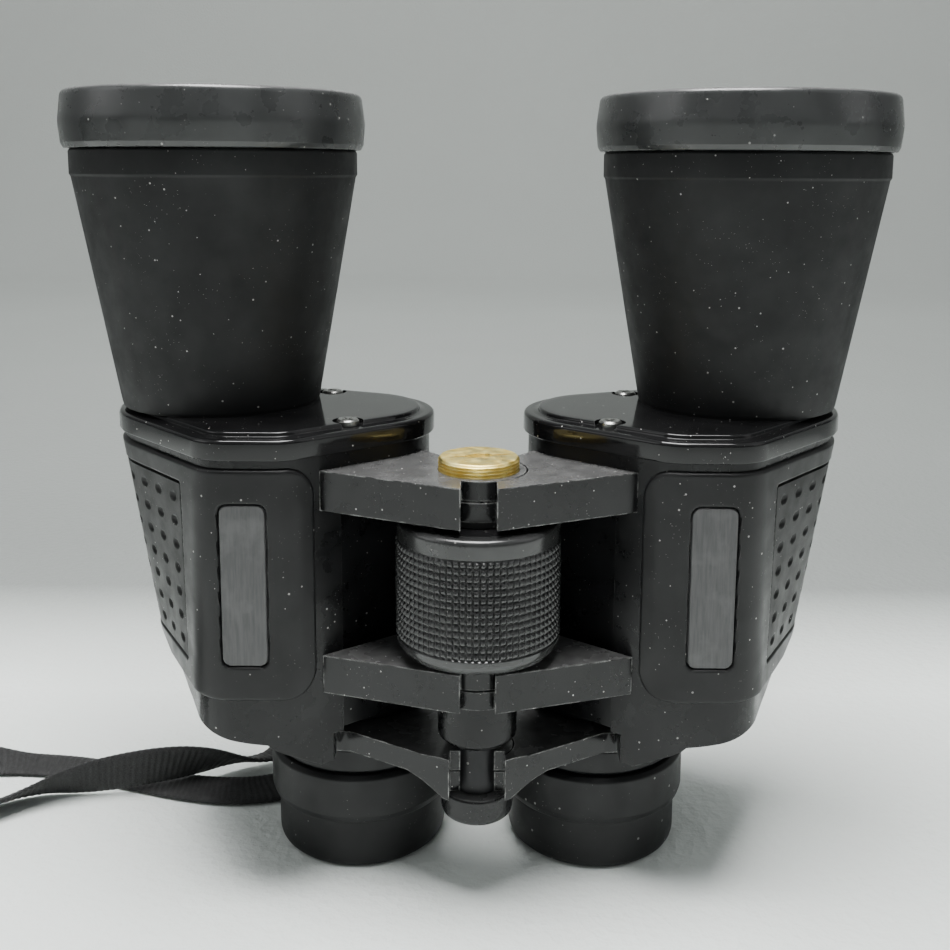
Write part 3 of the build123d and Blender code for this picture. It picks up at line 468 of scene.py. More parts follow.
def dusty(name, colour, roughness, grain_mm=0.5, grain_depth=0.02, dust=0.5, dust_mm=2.6, edge_wear_and_highlight=0.25,
          edge_band_mm=0.35, edge_wear_and_highlight_colour=(0.16, 0.16, 0.155), metallic=0.0, specular=0.28, spread=0.1,
          top_dust_and_highlight=0.0):
    """Moulded or painted surface with fine grain, colour variation, a lighter band along its edges and dust
    specks.
    The edge band is rubbed wear, and where it is strong and light, as on the arm paint, a painted edge
    highlight.
    The last argument is the share of a light film on faces that look upwards: settled dust together with a
    painted top highlight."""
    n = Nodes(name)
    cloud = n.noise(14.0, 5.0)
    lighter = tuple(min(1.0, c * (1 + 2.2 * MOTTLE) + 0.004 * MOTTLE) for c in colour)
    darker = tuple(c * (1 - MOTTLE * 0.7) for c in colour)
    base = n.mix(n.ramp(cloud, 0.35, 0.68), darker, lighter)
    # Lighter band along the edges: rubbed wear, which on the arm paint is a painted edge highlight.
    if edge_wear_and_highlight:
        edge_wear_and_highlight_mask = n.math("MULTIPLY", n.edges(edge_band_mm), n.ramp(n.noise(2.5, 6.0), 0.40, 0.62, 0.0, edge_wear_and_highlight))
        base = n.mix(edge_wear_and_highlight_mask, base, edge_wear_and_highlight_colour)
    # Painted top highlight: faces that look upwards are lightened by a film, which also stands for settled
    # dust.
    if top_dust_and_highlight:
        facing = n.add("ShaderNodeSeparateXYZ")
        n.join(n.add("ShaderNodeNewGeometry").outputs["Normal"], facing.inputs[0])
        top_dust_and_highlight_film = n.math("MULTIPLY", n.ramp(facing.outputs["Z"], 0.55, 0.95, 0.0, top_dust_and_highlight),
                      n.ramp(n.noise(3.5, 5.0), 0.25, 0.7, 0.5, 1.0))
        base = n.mix(top_dust_and_highlight_film, base, TOP_DUST_AND_HIGHLIGHT_COLOUR)
    if dust:
        spot = n.voronoi(dust_mm)
        pick = n.add("ShaderNodeTexWhiteNoise", noise_dimensions="3D")
        n.join(n.voronoi(dust_mm, "Position"), pick.inputs["Vector"])
        chosen = n.ramp(pick.outputs["Value"], 0.50, 1.0, 0.0, 0.13)
        mark = n.math("LESS_THAN", spot, chosen)
        small = n.math("LESS_THAN", n.voronoi(dust_mm * 0.42), 0.075)
        small = n.math("MULTIPLY", small, n.ramp(n.noise(9.0), 0.5, 0.6))
        marks = n.math("MULTIPLY", n.math("MAXIMUM", mark, small), dust)
        base = n.mix(marks, base, SPECK_COLOUR)
    n.shade("Base Color", base)
    n.shade("Roughness", n.ramp(n.noise(6.0, 6.0), 0.3, 0.7, roughness - spread, roughness + spread))
    n.shade("Metallic", metallic)
    n.shade("Specular IOR Level", specular)
    grain = n.bump(n.noise(grain_mm, 3.0), grain_depth, 0.7)
    n.shade("Normal", n.bump(n.noise(5.0, 3.0), grain_depth * 2.0, 0.3, grain))
    return n.material


def label_material():
    n = Nodes("label_satin")
    streak = n.noise(0.5, 4.0, 0.6, (1.0, 1.0, 0.08))
    base = n.mix(n.ramp(streak, 0.3, 0.7), (0.040, 0.040, 0.042), (0.068, 0.067, 0.068))
    scuffs = n.ramp(n.noise(7.0, 6.0), 0.52, 0.66, 0.0, 0.4)
    base = n.mix(scuffs, base, (0.10, 0.10, 0.10))
    n.shade("Base Color", base)
    n.shade("Roughness", n.ramp(n.noise(4.0, 5.0), 0.3, 0.7, 0.34, 0.52))
    n.shade("Normal", n.bump(streak, 0.01, 0.5))
    return n.material


def metal_material(name, dark, light, roughness, grain_mm, depth, dents=0.0):
    n = Nodes(name)
    base = n.mix(n.ramp(n.noise(2.2, 6.0), 0.35, 0.7), dark, light)
    n.shade("Base Color", base)
    n.shade("Metallic", 1.0)
    n.shade("Roughness", n.ramp(n.noise(1.8, 6.0), 0.3, 0.7, roughness * 0.7, roughness * 1.5))
    normal = n.bump(n.noise(grain_mm, 4.0, 0.6), depth, 0.8)
    if dents:
        hollows = n.ramp(n.voronoi(2.6), 0.0, 0.35)
        normal = n.bump(hollows, dents, 0.8, normal)
    n.shade("Normal", normal)
    return n.material


CLEAN_GLASS, SMEARED_GLASS = 0.02, 0.08


def glass_material(name, tint):
    n = Nodes(name)
    n.shade("Transmission Weight", 0.85)
    n.shade("IOR", 1.52)
    smear = n.ramp(n.noise(9.0, 5.0), 0.4, 0.7, CLEAN_GLASS, SMEARED_GLASS)
    n.shade("Roughness", smear)
    rim = n.add("ShaderNodeLayerWeight", Blend=0.35)
    n.shade("Base Color", n.mix(rim.outputs["Facing"], tint, (0.45, 0.50, 0.62)))
    n.shade("Normal", n.bump(n.noise(20.0, 2.0), 0.004, 0.3))
    return n.material


def webbing_material():
    """Black woven webbing: ribs are in the mesh, threads and lint in the material."""
    n = Nodes("webbing")
    threads = n.noise(0.28, 3.0, 0.7)
    base = n.mix(n.ramp(threads, 0.3, 0.7), (0.0022, 0.0022, 0.0024), (0.045, 0.045, 0.045))
    fade = n.ramp(n.noise(11.0, 4.0), 0.45, 0.7, 0.0, 0.3)
    base = n.mix(fade, base, (0.030, 0.030, 0.030))
    n.shade("Base Color", base)
    n.shade("Roughness", n.ramp(n.noise(2.0), 0.3, 0.7, 0.5, 0.75))
    n.shade("Specular IOR Level", 0.25)
    n.shade("Sheen Weight", 0.08)
    n.shade("Sheen Roughness", 0.4)
    n.shade("Normal", n.bump(threads, 0.09, 0.8))
    return n.material


objective_glass = glass_material("objective_glass", (0.10, 0.05, 0.16))
eye_glass = glass_material("eye_glass", (0.16, 0.10, 0.10))

slot_material = {
    # The guard's lighter film on upward faces is a painted top highlight.
    "guard_rubber": dusty(
        "guard_rubber", (0.022, 0.023, 0.023), 0.30, 0.3, 0.012, dust=0.55, dust_mm=2.0, specular=0.6,
        top_dust_and_highlight=0.9),
    "barrel_coating": dusty(
        "barrel_rubber", (0.0070, 0.0072, 0.0074), 0.56, 0.35, 0.02, dust=0.6, dust_mm=1.7,
        specular=0.26),
    "cover_gloss_black": dusty(
        "cover_gloss", (0.0050, 0.0050, 0.0052), 0.10, 0.8, 0.005, dust=0.8, dust_mm=1.6, edge_wear_and_highlight=0.2,
        specular=0.36, spread=0.04),
    "housing_black": dusty(
        "housing_paint", (0.0050, 0.0050, 0.0054), 0.30, 0.45, 0.012, dust=0.6, dust_mm=2.0),
    "armour_rubber": dusty(
        "armour_rubber", (0.0062, 0.0062, 0.0065), 0.38, 0.4, 0.016, dust=0.55, dust_mm=2.0),
    "grip_rubber": dusty("grip_rubber", (0.0060, 0.0060, 0.0060), 0.46, 0.4, 0.02, dust=0.55, dust_mm=1.8),
    "label_grey": label_material(),
    "screw_steel": dusty(
        "screw_nickel", (0.22, 0.22, 0.21), 0.28, 0.3, 0.01, dust=0.4, metallic=0.95, edge_wear_and_highlight=0.5,
        edge_wear_and_highlight_colour=(0.45, 0.45, 0.44)),
    "optical_glass": glass_material("prism_glass", (0.75, 0.80, 0.82)),
    "ring_black": dusty("ring_anodised", (0.015, 0.015, 0.016), 0.38, 0.3, 0.008, dust=0.2, metallic=0.4),
    "prism_plate_aluminium": metal_material(
        "cast_metal", (0.30, 0.30, 0.31), (0.5, 0.5, 0.51), 0.45, 0.6, 0.03),
    "spring_steel": metal_material("spring_metal", (0.35, 0.35, 0.35), (0.62, 0.62, 0.6), 0.25, 0.5, 0.006),
    # The arm paint's strong light edge band is a painted edge highlight, and its film on upward faces a
    # painted top highlight.
    "arm_black_paint": dusty(
        "arm_paint", (0.0058, 0.0058, 0.0062), 0.23, 0.35, 0.014, dust=0.9, dust_mm=1.5, edge_wear_and_highlight=0.95,
        edge_wear_and_highlight_colour=(0.34, 0.34, 0.33), specular=0.34, edge_band_mm=0.5, top_dust_and_highlight=0.6),
    "ocular_black": dusty("ocular_paint", (0.0062, 0.0064, 0.0067), 0.40, 0.4, 0.012, dust=0.4),
    "eyecup_rubber": dusty("eyecup_rubber", (0.0066, 0.0068, 0.0071), 0.48, 0.35, 0.018, dust=0.45),
    "plug_brass": metal_material(
        "plug_brass", (0.86, 0.64, 0.16), (1.0, 0.87, 0.38), 0.38, 0.5, 0.02, 0.10),
    "hinge_steel": metal_material("turned_steel", (0.28, 0.28, 0.28), (0.55, 0.55, 0.54), 0.28, 0.4, 0.01),
    "tube_black": dusty("tube_paint", (0.0052, 0.0052, 0.0055), 0.28, 0.6, 0.008, dust=0.6, dust_mm=1.8),
    "washer_nylon": dusty("washer_plastic", (0.03, 0.03, 0.03), 0.5, 0.5, 0.01, dust=0.2),
    "spindle_steel": dusty(
        "spindle_black", (0.014, 0.014, 0.015), 0.34, 0.3, 0.006, dust=0.3, metallic=0.3),
    "wheel_rubber": dusty(
        "wheel_rubber", (0.017, 0.0173, 0.0173), 0.22, 0.25, 0.01, dust=0.25, edge_wear_and_highlight=0.4,
        edge_wear_and_highlight_colour=(0.11, 0.111, 0.107), specular=0.62),
    "strap_webbing": webbing_material()}
slot_of = {part["node"]: part["material_slot"] for part in frame["record"]["subparts"]}
for node, thing in frame["nodes"].items():
    chosen = slot_material[slot_of[node]]
    if node.endswith("objective_lens"):
        chosen = objective_glass
    if node.endswith("eye_lens"):
        chosen = eye_glass
    thing.data.materials.clear()
    thing.data.materials.append(chosen)

# ---- neck strap ----
STRAP_WIDTH = 10.0
STRAP_THICKNESS = 1.5
COIL_CENTRE = Vector((-186.0, -10.0))
COIL_HEIGHT = STRAP_WIDTH / 2 + 0.2
RIB_PITCH = 1.55
RIB_HEIGHT = 0.28

left_route = [
    (-45.0, 29.0, 40.6), (-45.4, 29.4, 32.0), (-46.4, 30.4, 21.5), (-48.4, 30.8, 11.5),
    (-53.0, 26.4, 3.8), (-61.0, 23.4, 4.4), (-69.5, 19.2, 7.0), (-79.5, 15.6, 7.9),
    (-90.0, 13.6, 6.9), (-101.0, 12.2, 5.2), (-111.0, 9.8, 4.0), (-120.0, 4.6, 3.0), (-129.0, -4.6, 2.8),
    (-138.0, -16.0, 3.0), (-148.0, -26.5, 3.6)]
right_route = [
    (45.0, 29.0, 40.6), (44.6, 29.8, 32.0), (42.4, 32.2, 21.5), (37.0, 35.4, 11.5),
    (27.0, 38.2, 4.8), (14.0, 39.2, 2.6), (-1.0, 38.0, 2.3), (-16.0, 35.0, 2.3),
    (-29.5, 30.0, 2.3), (-40.5, 22.2, 2.3), (-50.5, 14.6, 2.3), (-62.0, 12.4, 2.3),
    (-75.0, 15.0, 2.3), (-88.0, 19.4, 2.3), (-101.0, 24.0, 2.3), (-115.0, 26.8, 2.3),
    (-129.0, 26.8, 2.3), (-141.0, 21.6, 2.4), (-149.0, 10.5, 3.2)]


def coil_place(radius, angle):
    place = COIL_CENTRE + Vector((radius * cos(angle), radius * sin(angle)))
    return place.x, place.y, COIL_HEIGHT


def coil_turns(turns, outer, inner, gap, start_angle):
    """Doubled spiral, wound clockwise inwards, with the fold of the strap in the middle."""
    per_turn = 16
    out_points, back_points = [], []
    steps = int(turns * per_turn)
    for step in range(steps + 1):
        share = step / steps
        angle = start_angle - 2 * pi * turns * share
        radius = outer + (inner - outer) * share
        across = gap * (1.0 + 0.9 * max(0.0, share - 0.8) / 0.2)
        out_points.append(coil_place(radius, angle))
        back_points.append(coil_place(radius - across, angle))
    last_angle = start_angle - 2 * pi * turns
    fold = inner - gap * 0.95
    tip = []
    for share in (0.25, 0.5, 0.75):
        angle = last_angle - 0.42 * sin(pi * share)
        tip.append(coil_place(fold + gap * 0.95 * cos(pi * share), angle))
    return out_points + tip + back_points[::-1]


coil_points = coil_turns(1.92, 38.5, 17.0, 5.0, radians(-52))
route = left_route + coil_points + right_route[::-1]


def spline_points(points, name):
    """Points read from a NURBS spline of order 3 through the route, a fraction of a millimetre apart."""
    curve = bpy.data.curves.new(name, "CURVE")
    curve.dimensions = "3D"
    spline = curve.splines.new("NURBS")
    spline.points.add(len(points) - 1)
    for point, place in zip(spline.points, points):
        point.co = (*[c * MM for c in place], 1.0)
    spline.order_u = 3
    spline.use_endpoint_u = True
    spline.resolution_u = 24
    carrier = add_object(name, curve)
    bpy.context.view_layer.update()
    mesh = bpy.data.meshes.new_from_object(carrier)
    line = [v.co / MM for v in mesh.vertices]
    bpy.data.objects.remove(carrier)
    bpy.data.curves.remove(curve)
    bpy.data.meshes.remove(mesh)
    return line


def resample(line, step):
    """Points at even distances of about step along a line of points."""
    lengths = running_lengths(line)
    count = int(lengths[-1] / step)
    return [place_along(line, lengths, lengths[-1] * k / count)[0] for k in range(count + 1)]


def smooth_table(table, x):
    """Value at x from (x, value) rows, eased between them."""
    rows = sorted(table)
    if x <= rows[0][0]:
        return rows[0][1]
    for (x1, v1), (x2, v2) in zip(rows, rows[1:]):
        if x <= x2:
            share = (x - x1) / (x2 - x1)
            return v1 + (v2 - v1) * share * share * (3 - 2 * share)
    return rows[-1][1]


def running_mean(values, reach):
    """Each value averaged with its neighbours, weighted towards the middle."""
    out = []
    for k in range(len(values)):
        span = min(reach, k, len(values) - 1 - k)
        total, weight = values[k] * 1.0, 1.0
        for step in range(1, span + 1):
            share = 1 - step / (span + 1)
            total = total + (values[k - step] + values[k + step]) * share
            weight += 2 * share
        out.append(total / weight)
    return out


# Tilt of the strap's width from level, in degrees, at places along X: flat where it lies down,
# on edge in the coil and where the left strand rides over the right one.
LEFT_TILT = [(-45, 86), (-49, 50), (-55, 14), (-62, 26), (-70, 62), (-80, 84), (-92, 86), (-102, 70),
             (-112, 40), (-122, 24), (-134, 62), (-148, 88)]
RIGHT_TILT = [(45, 86), (40, 60), (30, 20), (12, 4), (-30, 3), (-48, 12), (-62, 10), (-88, 2), (-124, 2),
              (-136, 40), (-146, 80), (-151, 88)]
COIL_EDGE_X = -150.0
COIL_TILT = 88.0
STRAP_STEP = 0.3
# Steps to either side over which directions are taken, and widths and heights smoothed.
ALONG_REACH, WIDTH_REACH, HEIGHT_REACH = 3, 30, 24
# The strap hangs where it falls more steeply than this, fully so at the sum of both.
HANGING_FALL, HANGING_RANGE = 0.45, 0.4
# Below LIE_FROM it settles on to the table within LIE_RANGE, and under BARE_HEIGHT it lies there.
LIE_FROM, LIE_RANGE, BARE_HEIGHT = 8.5, 3.0, 3.6
TABLE_GAP = 0.08
HIGHEST_LIFT = 6
WIDTH_POINTS = 11
# Thickness left at the strap's edges, room for the ribs, their slant, their mean and their narrowing.
EDGE_SHARE, RIB_ROOM, RIB_SLANT, RIB_MEAN, RIB_NARROWING = 0.35, 0.16, 1.1, 0.4, 0.02


def strap_directions(line):
    """Unit directions along the strap and across its width, at each point of the line."""
    count = len(line)
    coil_in = next(k for k, p in enumerate(line) if p.x < COIL_EDGE_X)
    coil_out = count - next(k for k, p in enumerate(reversed(line)) if p.x < COIL_EDGE_X)
    slot_way = Vector((1, 0, 0))
    alongs, acrosses = [], []
    for k, point in enumerate(line):
        along = (line[min(count - 1, k + ALONG_REACH)] - line[max(0, k - ALONG_REACH)]).normalized()
        alongs.append(along)
        tilt = COIL_TILT
        if k < coil_in:
            tilt = smooth_table(LEFT_TILT, point.x)
        elif k > coil_out:
            tilt = smooth_table(RIGHT_TILT, point.x)
        level = Vector((-along.y, along.x, 0.0))
        hanging = clamped((abs(along.z) - HANGING_FALL) / HANGING_RANGE)
        level = (level.normalized() if level.length > 0.05 else slot_way) * (1 - hanging) + slot_way * hanging
        level = (level - along * level.dot(along)).normalized()
        angle = radians(tilt * (1 - hanging))
        acrosses.append(level * cos(angle) + along.cross(level) * sin(angle))
    acrosses = running_mean(acrosses, WIDTH_REACH)
    square = [across - along * across.dot(along) for across, along in zip(acrosses, alongs)]
    return alongs, [across.normalized() for across in square]


def settled_line(line, alongs, acrosses):
    """The line, raised where the strap's tilted section would otherwise pass through the table."""
    lifts, heights = [], []
    for point, along, across in zip(line, alongs, acrosses):
        thick = along.cross(across)
        lift = STRAP_WIDTH / 2 * abs(across.z) + STRAP_THICKNESS / 2 * abs(thick.z) + TABLE_GAP
        lying = clamped((LIE_FROM - point.z) / LIE_RANGE)
        bare = point.z if point.z > BARE_HEIGHT else lift
        lifts.append(lift)
        heights.append(point.z * (1 - lying) + max(bare, lift) * lying)
    out = []
    for point, height, lift in zip(line, running_mean(heights, HEIGHT_REACH), lifts):
        out.append(Vector((point.x, point.y, max(height, min(lift, point.z + HIGHEST_LIFT)))))
    return out


def make_strap():
    """Flat webbing with slanting ribs, swept along its line."""
    line = resample(spline_points(route, "strap_route"), STRAP_STEP)
    alongs, acrosses = strap_directions(line)
    centre_line = settled_line(line, alongs, acrosses)
    section = [(-1 + 2 * k / (WIDTH_POINTS - 1), 1) for k in range(WIDTH_POINTS)]
    section += [(1 - 2 * k / (WIDTH_POINTS - 1), -1) for k in range(WIDTH_POINTS)]
    verts = []
    for k, centre in enumerate(centre_line):
        thick_dir = alongs[k].cross(acrosses[k])
        for w, face in section:
            edge = 1 - abs(w) ** 6
            thickness = (STRAP_THICKNESS / 2 - RIB_ROOM) * (EDGE_SHARE + (1 - EDGE_SHARE) * edge)
            wave = 0.5 + 0.5 * cos(2 * pi * (k * STRAP_STEP + w * RIB_SLANT) / RIB_PITCH)
            offset = thick_dir * face * (thickness + RIB_HEIGHT * (wave - RIB_MEAN) * edge)
            width = STRAP_WIDTH / 2 * (1 - RIB_NARROWING * wave)
            verts.append(tuple(centre + acrosses[k] * (w * width) + offset))
    strap = add_mesh("neck_strap", verts, ring_faces(len(line), len(section)), 75.0)
    finish_piece(strap, None, "strap_webbing")
    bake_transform(strap, "left_half", "right_half", (-20 * MM, 0.03, 0), (40 * MM, 0.03, 0))
    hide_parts("left_strap_run", "right_strap_run", "strap_coil")


make_strap()


# ---- turned pieces ----
def turned(node, corners, centre, body, slot, steps=5, material=None):
    """Lathe piece with rounded corners that stands for one CAD node."""
    piece = lathe(f"{node}_turned", rounded_profile(corners, steps), centre)
    finish_piece(piece, body, slot, (node,), material)


def make_objective(label, side):
    body = f"{label}_half"
    centre = (side * OBJECTIVE[0], OBJECTIVE[1])
    turned(f"{label}_objective_barrel", [
        (16.0, 97.2, 0), (18.0, 97.2, 0), (18.0, 105.92, 0), (22.7, 105.92, 0.0), (22.95, 106.7, 0.5),
        (32.0, 158.1, 0.9), (32.35, 158.6, 0.5), (32.35, 163.6, 0.4), (32.0, 164.15, 0.3),
        (30.5, 164.2, 0), (30.5, 168.0, 0.4), (26.4, 168.0, 0.3), (26.4, 158.0, 0), (25.0, 158.0, 0),
        (17.0, 108.9, 0), (16.0, 105.9, 0)], centre, body, "barrel_coating")
    turned(f"{label}_objective_guard", [
        (30.5, 164.25, 0), (33.3, 164.25, 0.45), (33.85, 165.4, 0.6), (34.3, 170.0, 9.0),
        (33.45, 176.9, 4.0), (30.4, 176.9, 0.8), (28.6, 172.2, 2.0), (28.6, 168.05, 0.3),
        (30.5, 168.05, 0)], centre, body, "guard_rubber", 7)
    ridges = [(25.0 + 0.16 * (k % 2), 165.5 + 0.5 * k, 0) for k in range(5)]
    turned(f"{label}_objective_retaining_ring", [
        (25.1, 165.4, 0), (26.4, 165.4, 0), (26.4, 167.8, 0.2), (25.6, 167.8, 0.2), *ridges[::-1]],
        centre, body, "ring_black", 3)


def make_eyepiece(label, side):
    centre = (side * EYEPIECE[0], EYEPIECE[1])
    body = f"{label}_ocular"
    turning = "diopter" if label == "right" else body
    top = 23.5 if label == "right" else 23.7
    band = "right_diopter_ring" if label == "right" else "left_eyepiece_band"
    bore = 13.3
    turned(f"{label}_ocular_collar", [
        (13.25, 23.75, 0), (20.0, 23.75, 0.3), (20.3, 24.4, 0.5), (20.3, 29.2, 0.3), (13.25, 29.25, 0)],
        centre, body, "ocular_black")
    turned(band, [
        (bore, 12.1, 0), (20.45, 12.1, 0.2), (21.3, 12.35, 0.7), (21.8, 13.9, 1.2), (21.8, top - 0.9, 0.8),
        (20.8, top, 0.5), (bore, top, 0)],
        centre, turning, "ocular_black", material=slot_material["eyecup_rubber"])
    turned(f"{label}_eyecup", [
        (bore, 12.05, 0), (20.0, 12.05, 0.2), (20.1, 11.0, 0.4), (20.1, 0.05, 3.6), (14.7, 0.02, 0.8),
        (14.1, 0.9, 0.5), (11.5, 5.0, 0.4), (11.5, 6.0, 0.2), (bore, 6.05, 0)],
        centre, turning, "eyecup_rubber", 7)
    turned(f"{label}_eyepiece_guide", [
        (13.3, 34.6, 0), (15.7, 34.6, 0.2), (16.0, 35.0, 0.2), (16.0, 37.0, 0), (14.2, 37.0, 0),
        (14.2, 47.0, 0), (13.3, 47.0, 0)], centre, f"{label}_half", "ocular_black")


def make_hinge_turnings():
    centre = (0.0, HINGE_Y)
    turned("hinge_tube", [
        (4.6, 36.9, 0), (7.9, 36.9, 0.5), (8.7, 38.0, 0.8), (8.7, 46.8, 0.3), (8.5, 47.0, 0.1),
        (7.0, 47.0, 0), (7.0, 55.8, 0), (6.2, 55.8, 0), (6.2, 62.8, 0), (4.6, 62.8, 0)],
        centre, "left_half", "tube_black")
    turned("spindle_cap", [
        (3.05, 25.1, 0), (7.7, 25.1, 0.3), (8.0, 24.6, 0.4), (8.0, 18.7, 2.6), (0.6, 18.7, 0), (0.6, 20.9, 0),
        (3.05, 20.9, 0)], centre, "left_ocular", "arm_black_paint", 7)


WHEEL_SECTORS = 77
WHEEL_ROWS = 14
KNURL_FOOT = 61.4
KNURL_TOP = 82.4
KNURL_STEPS = 6
KNURL_DEPTH = 0.62
KNURL_STEEPNESS = 1.35


def make_wheel_sleeve():
    """Rubber sleeve with smooth rounded ends and rows of small square pyramids between them."""
    foot = rounded_profile([
        (14.5, 58.02, 0), (16.2, 58.0, 0.6), (17.55, 59.7, 2.2), (17.6, KNURL_FOOT - 0.3, 0.3),
        (17.25, KNURL_FOOT - 0.05, 0)], 6)
    top = rounded_profile([
        (17.25, KNURL_TOP + 0.05, 0), (17.6, KNURL_TOP + 0.3, 0.25), (17.6, 86.8, 3.4), (14.5, 86.78, 0)], 9)
    rows = WHEEL_ROWS * KNURL_STEPS
    middle = [(17.25, KNURL_FOOT + (KNURL_TOP - KNURL_FOOT) * k / rows) for k in range(rows + 1)]
    first, last = len(foot), len(foot) + rows

    def knurl(index, radius, z, angle):
        if not first < index < last:
            return radius
        across = (angle / (2 * pi) * WHEEL_SECTORS) % 1.0
        up = ((z - KNURL_FOOT) / (KNURL_TOP - KNURL_FOOT) * WHEEL_ROWS) % 1.0
        rise = min(1 - abs(2 * across - 1), 1 - abs(2 * up - 1))
        return radius + KNURL_DEPTH * min(1.0, KNURL_STEEPNESS * rise)

    piece = lathe("focus_wheel_sleeve_knurled", foot + middle + top, (0.0, HINGE_Y),
                  WHEEL_SECTORS * KNURL_STEPS, True, knurl, 50.0)
    finish_piece(piece, "focus_wheel", "wheel_rubber", ("focus_wheel_sleeve",))


THREAD_FOOT, THREAD_PITCH, THREADS = 97.35, 0.72, 3
PLUG_TURN = 12
DENTS_FROM_Z = 98.9


def make_plug():
    """Threaded brass plug with a worn screwdriver slot and dented top."""
    profile = rounded_profile([(8.6, 94.6, 0), (8.65, 97.15, 0.1)], 2)
    for k in range(THREADS):
        groove = THREAD_FOOT + THREAD_PITCH * k
        profile += rounded_profile([
            (8.65, groove, 0), (8.2, groove + 0.22, 0.12), (8.65, groove + 0.46, 0.1),
            (8.68, groove + 0.6, 0)], 3)
    profile += rounded_profile([(8.6, 99.45, 0), (8.3, 100.0, 0.6), (7.2, 100.0, 0)], 5)
    profile += [(r, 100.0) for r in (6.4, 5.6, 4.8, 4.0, 3.2, 2.4, 1.6, 0.8, 0.3)]
    piece = lathe("hinge_plug_turned", profile, (0.0, HINGE_Y), 144, False)
    for vertex in piece.data.vertices:
        if vertex.co.z > DENTS_FROM_Z * MM:
            place = vertex.co / MM
            dent = noise.noise(place * 0.45 + Vector((3.0, 1.0, 0.0)))
            dent = 0.16 * max(0.0, dent - 0.1) + 0.05 * noise.noise(place * 1.3)
            vertex.co.z -= max(0.0, dent) * MM
            vertex.co.x -= 0.25 * dent * MM
    hollow = lathe("hollow_cutter", [(2.4, 98.7), (3.1, 99.6), (3.4, 101.0)], (0.0, 0.0), 48, False)
    slot = lathe("slot_cutter", [(1.0, 99.35), (1.0, 101.0)], (0.0, 0.0), 24, False)
    turn = Matrix.Rotation(radians(PLUG_TURN), 4, "Z")
    middle = Matrix.Translation(Vector((0, HINGE_Y, 0)) * MM) @ turn
    hollow.matrix_world = middle @ Matrix.Diagonal((1, 0.5, 1, 1))
    slot.matrix_world = middle @ Matrix.Diagonal((7.6, 0.28, 1, 1))
    cut_away(piece, (hollow, slot))
    finish_piece(piece, "plug", "plug_brass", ("hinge_plug",))


# ---- front covers ----
RIM_TOP = 104.9
PLATEAU_TOP = 105.9
COVER_SCREWS = ((28.6, -16.6), (36.0, 16.2))
CUTTER_LOW, CUTTER_HIGH = 99.0, 107.0


def arc_levels(grow, z, radius, start, end, steps=5):
    """Levels on a quarter round about (grow, z), with angles from the outward direction."""
    angles = [radians(start + (end - start) * k / steps) for k in range(steps + 1)]
    return [(grow + radius * cos(a), z + radius * sin(a), COVER_FOOT) for a in angles]


def make_front_cover(label, side):
    """Glossy cover: rolled rim, a ledge, and a plateau with a rounded edge."""
    levels = [(-1.6, COVER_FOOT, COVER_FOOT)]
    levels += arc_levels(0.8, COVER_FOOT + 0.4, 0.4, -90, 0)
    levels += arc_levels(0.3, RIM_TOP - 0.9, 0.9, 0, 90, 7)
    levels += [(-0.6, RIM_TOP, COVER_FOOT)]
    levels += [(-1.9, RIM_TOP + 0.03, COVER_FOOT), (-2.1, RIM_TOP + 0.15, COVER_FOOT)]
    levels += arc_levels(-2.75, PLATEAU_TOP - 0.55, 0.55, 0, 90, 6)
    levels += [(-4.5, PLATEAU_TOP, COVER_FOOT)]
    piece = stack(f"{label}_front_cover_pressed", levels, side)
    spigot = [(18.0, CUTTER_LOW), (18.0, CUTTER_HIGH)]
    pocket = [(3.3, RIM_TOP), (3.5, CUTTER_HIGH)]
    shank = [(1.2, CUTTER_LOW), (1.2, CUTTER_HIGH)]
    cutters = [lathe("spigot_cutter", spigot, (side * OBJECTIVE[0], OBJECTIVE[1]), 96, False)]
    for x, y in COVER_SCREWS:
        cutters.append(lathe("pocket_cutter", pocket, (side * x, y), 48, False))
        cutters.append(lathe("shank_cutter", shank, (side * x, y), 24, False))
    cut_away(piece, cutters)
    finish_piece(piece, f"{label}_half", "cover_gloss_black", (f"{label}_front_cover",))


# ---- skins on the housing ----
PANEL_LOW, PANEL_HIGH, PANEL_RISE, PANEL_CORNER = 47.8, 98.6, 1.0, 6.5
PAD_LOW, PAD_HIGH, PAD_RISE = 53.6, 93.6, 0.8
PAD_ANGLES = (-61.0, 48.0)
LABEL_LOW, LABEL_HIGH, LABEL_RISE = 55.8, 91.0, 0.85
LABEL_MIDDLE_X, LABEL_HALF_WIDTH, LABEL_CORNER = 49.0, 4.8, 1.8
SUNK = -0.35


def length_where(z, test):
    """Running length round the wall at height z where test(point) first holds."""
    line, lengths = walk(z)
    for point, length in zip(line, lengths):
        if length > 0.5 and test(point):
            return length
    return lengths[-1]


def pad_angle(point):
    return degrees(atan2(point.y, point.x - 50.0))


def pad_start(z):
    return length_where(z, lambda p: p.x > 50.0 and pad_angle(p) > PAD_ANGLES[0])


def pad_end(z):
    return length_where(z, lambda p: p.y > 0 and pad_angle(p) > PAD_ANGLES[1])


def panel_end(z):
    return length_where(z, lambda p: p.y > 5.0 and p.x < 55.0)


def between(span_low, span_high, low, high):
    """Function of z that runs straight from its value at low to its value at high."""
    return lambda z: span_low + (span_high - span_low) * (z - low) / (high - low)


pad_from = between(pad_start(PAD_LOW), pad_start(PAD_HIGH), PAD_LOW, PAD_HIGH)
pad_to = between(pad_end(PAD_LOW), pad_end(PAD_HIGH), PAD_LOW, PAD_HIGH)
panel_to = between(panel_end(PANEL_LOW), panel_end(PANEL_HIGH), PANEL_LOW, PANEL_HIGH)
label_from = length_where(70.0, lambda p: p.x > LABEL_MIDDLE_X - LABEL_HALF_WIDTH)
label_to = label_from + 2 * LABEL_HALF_WIDTH


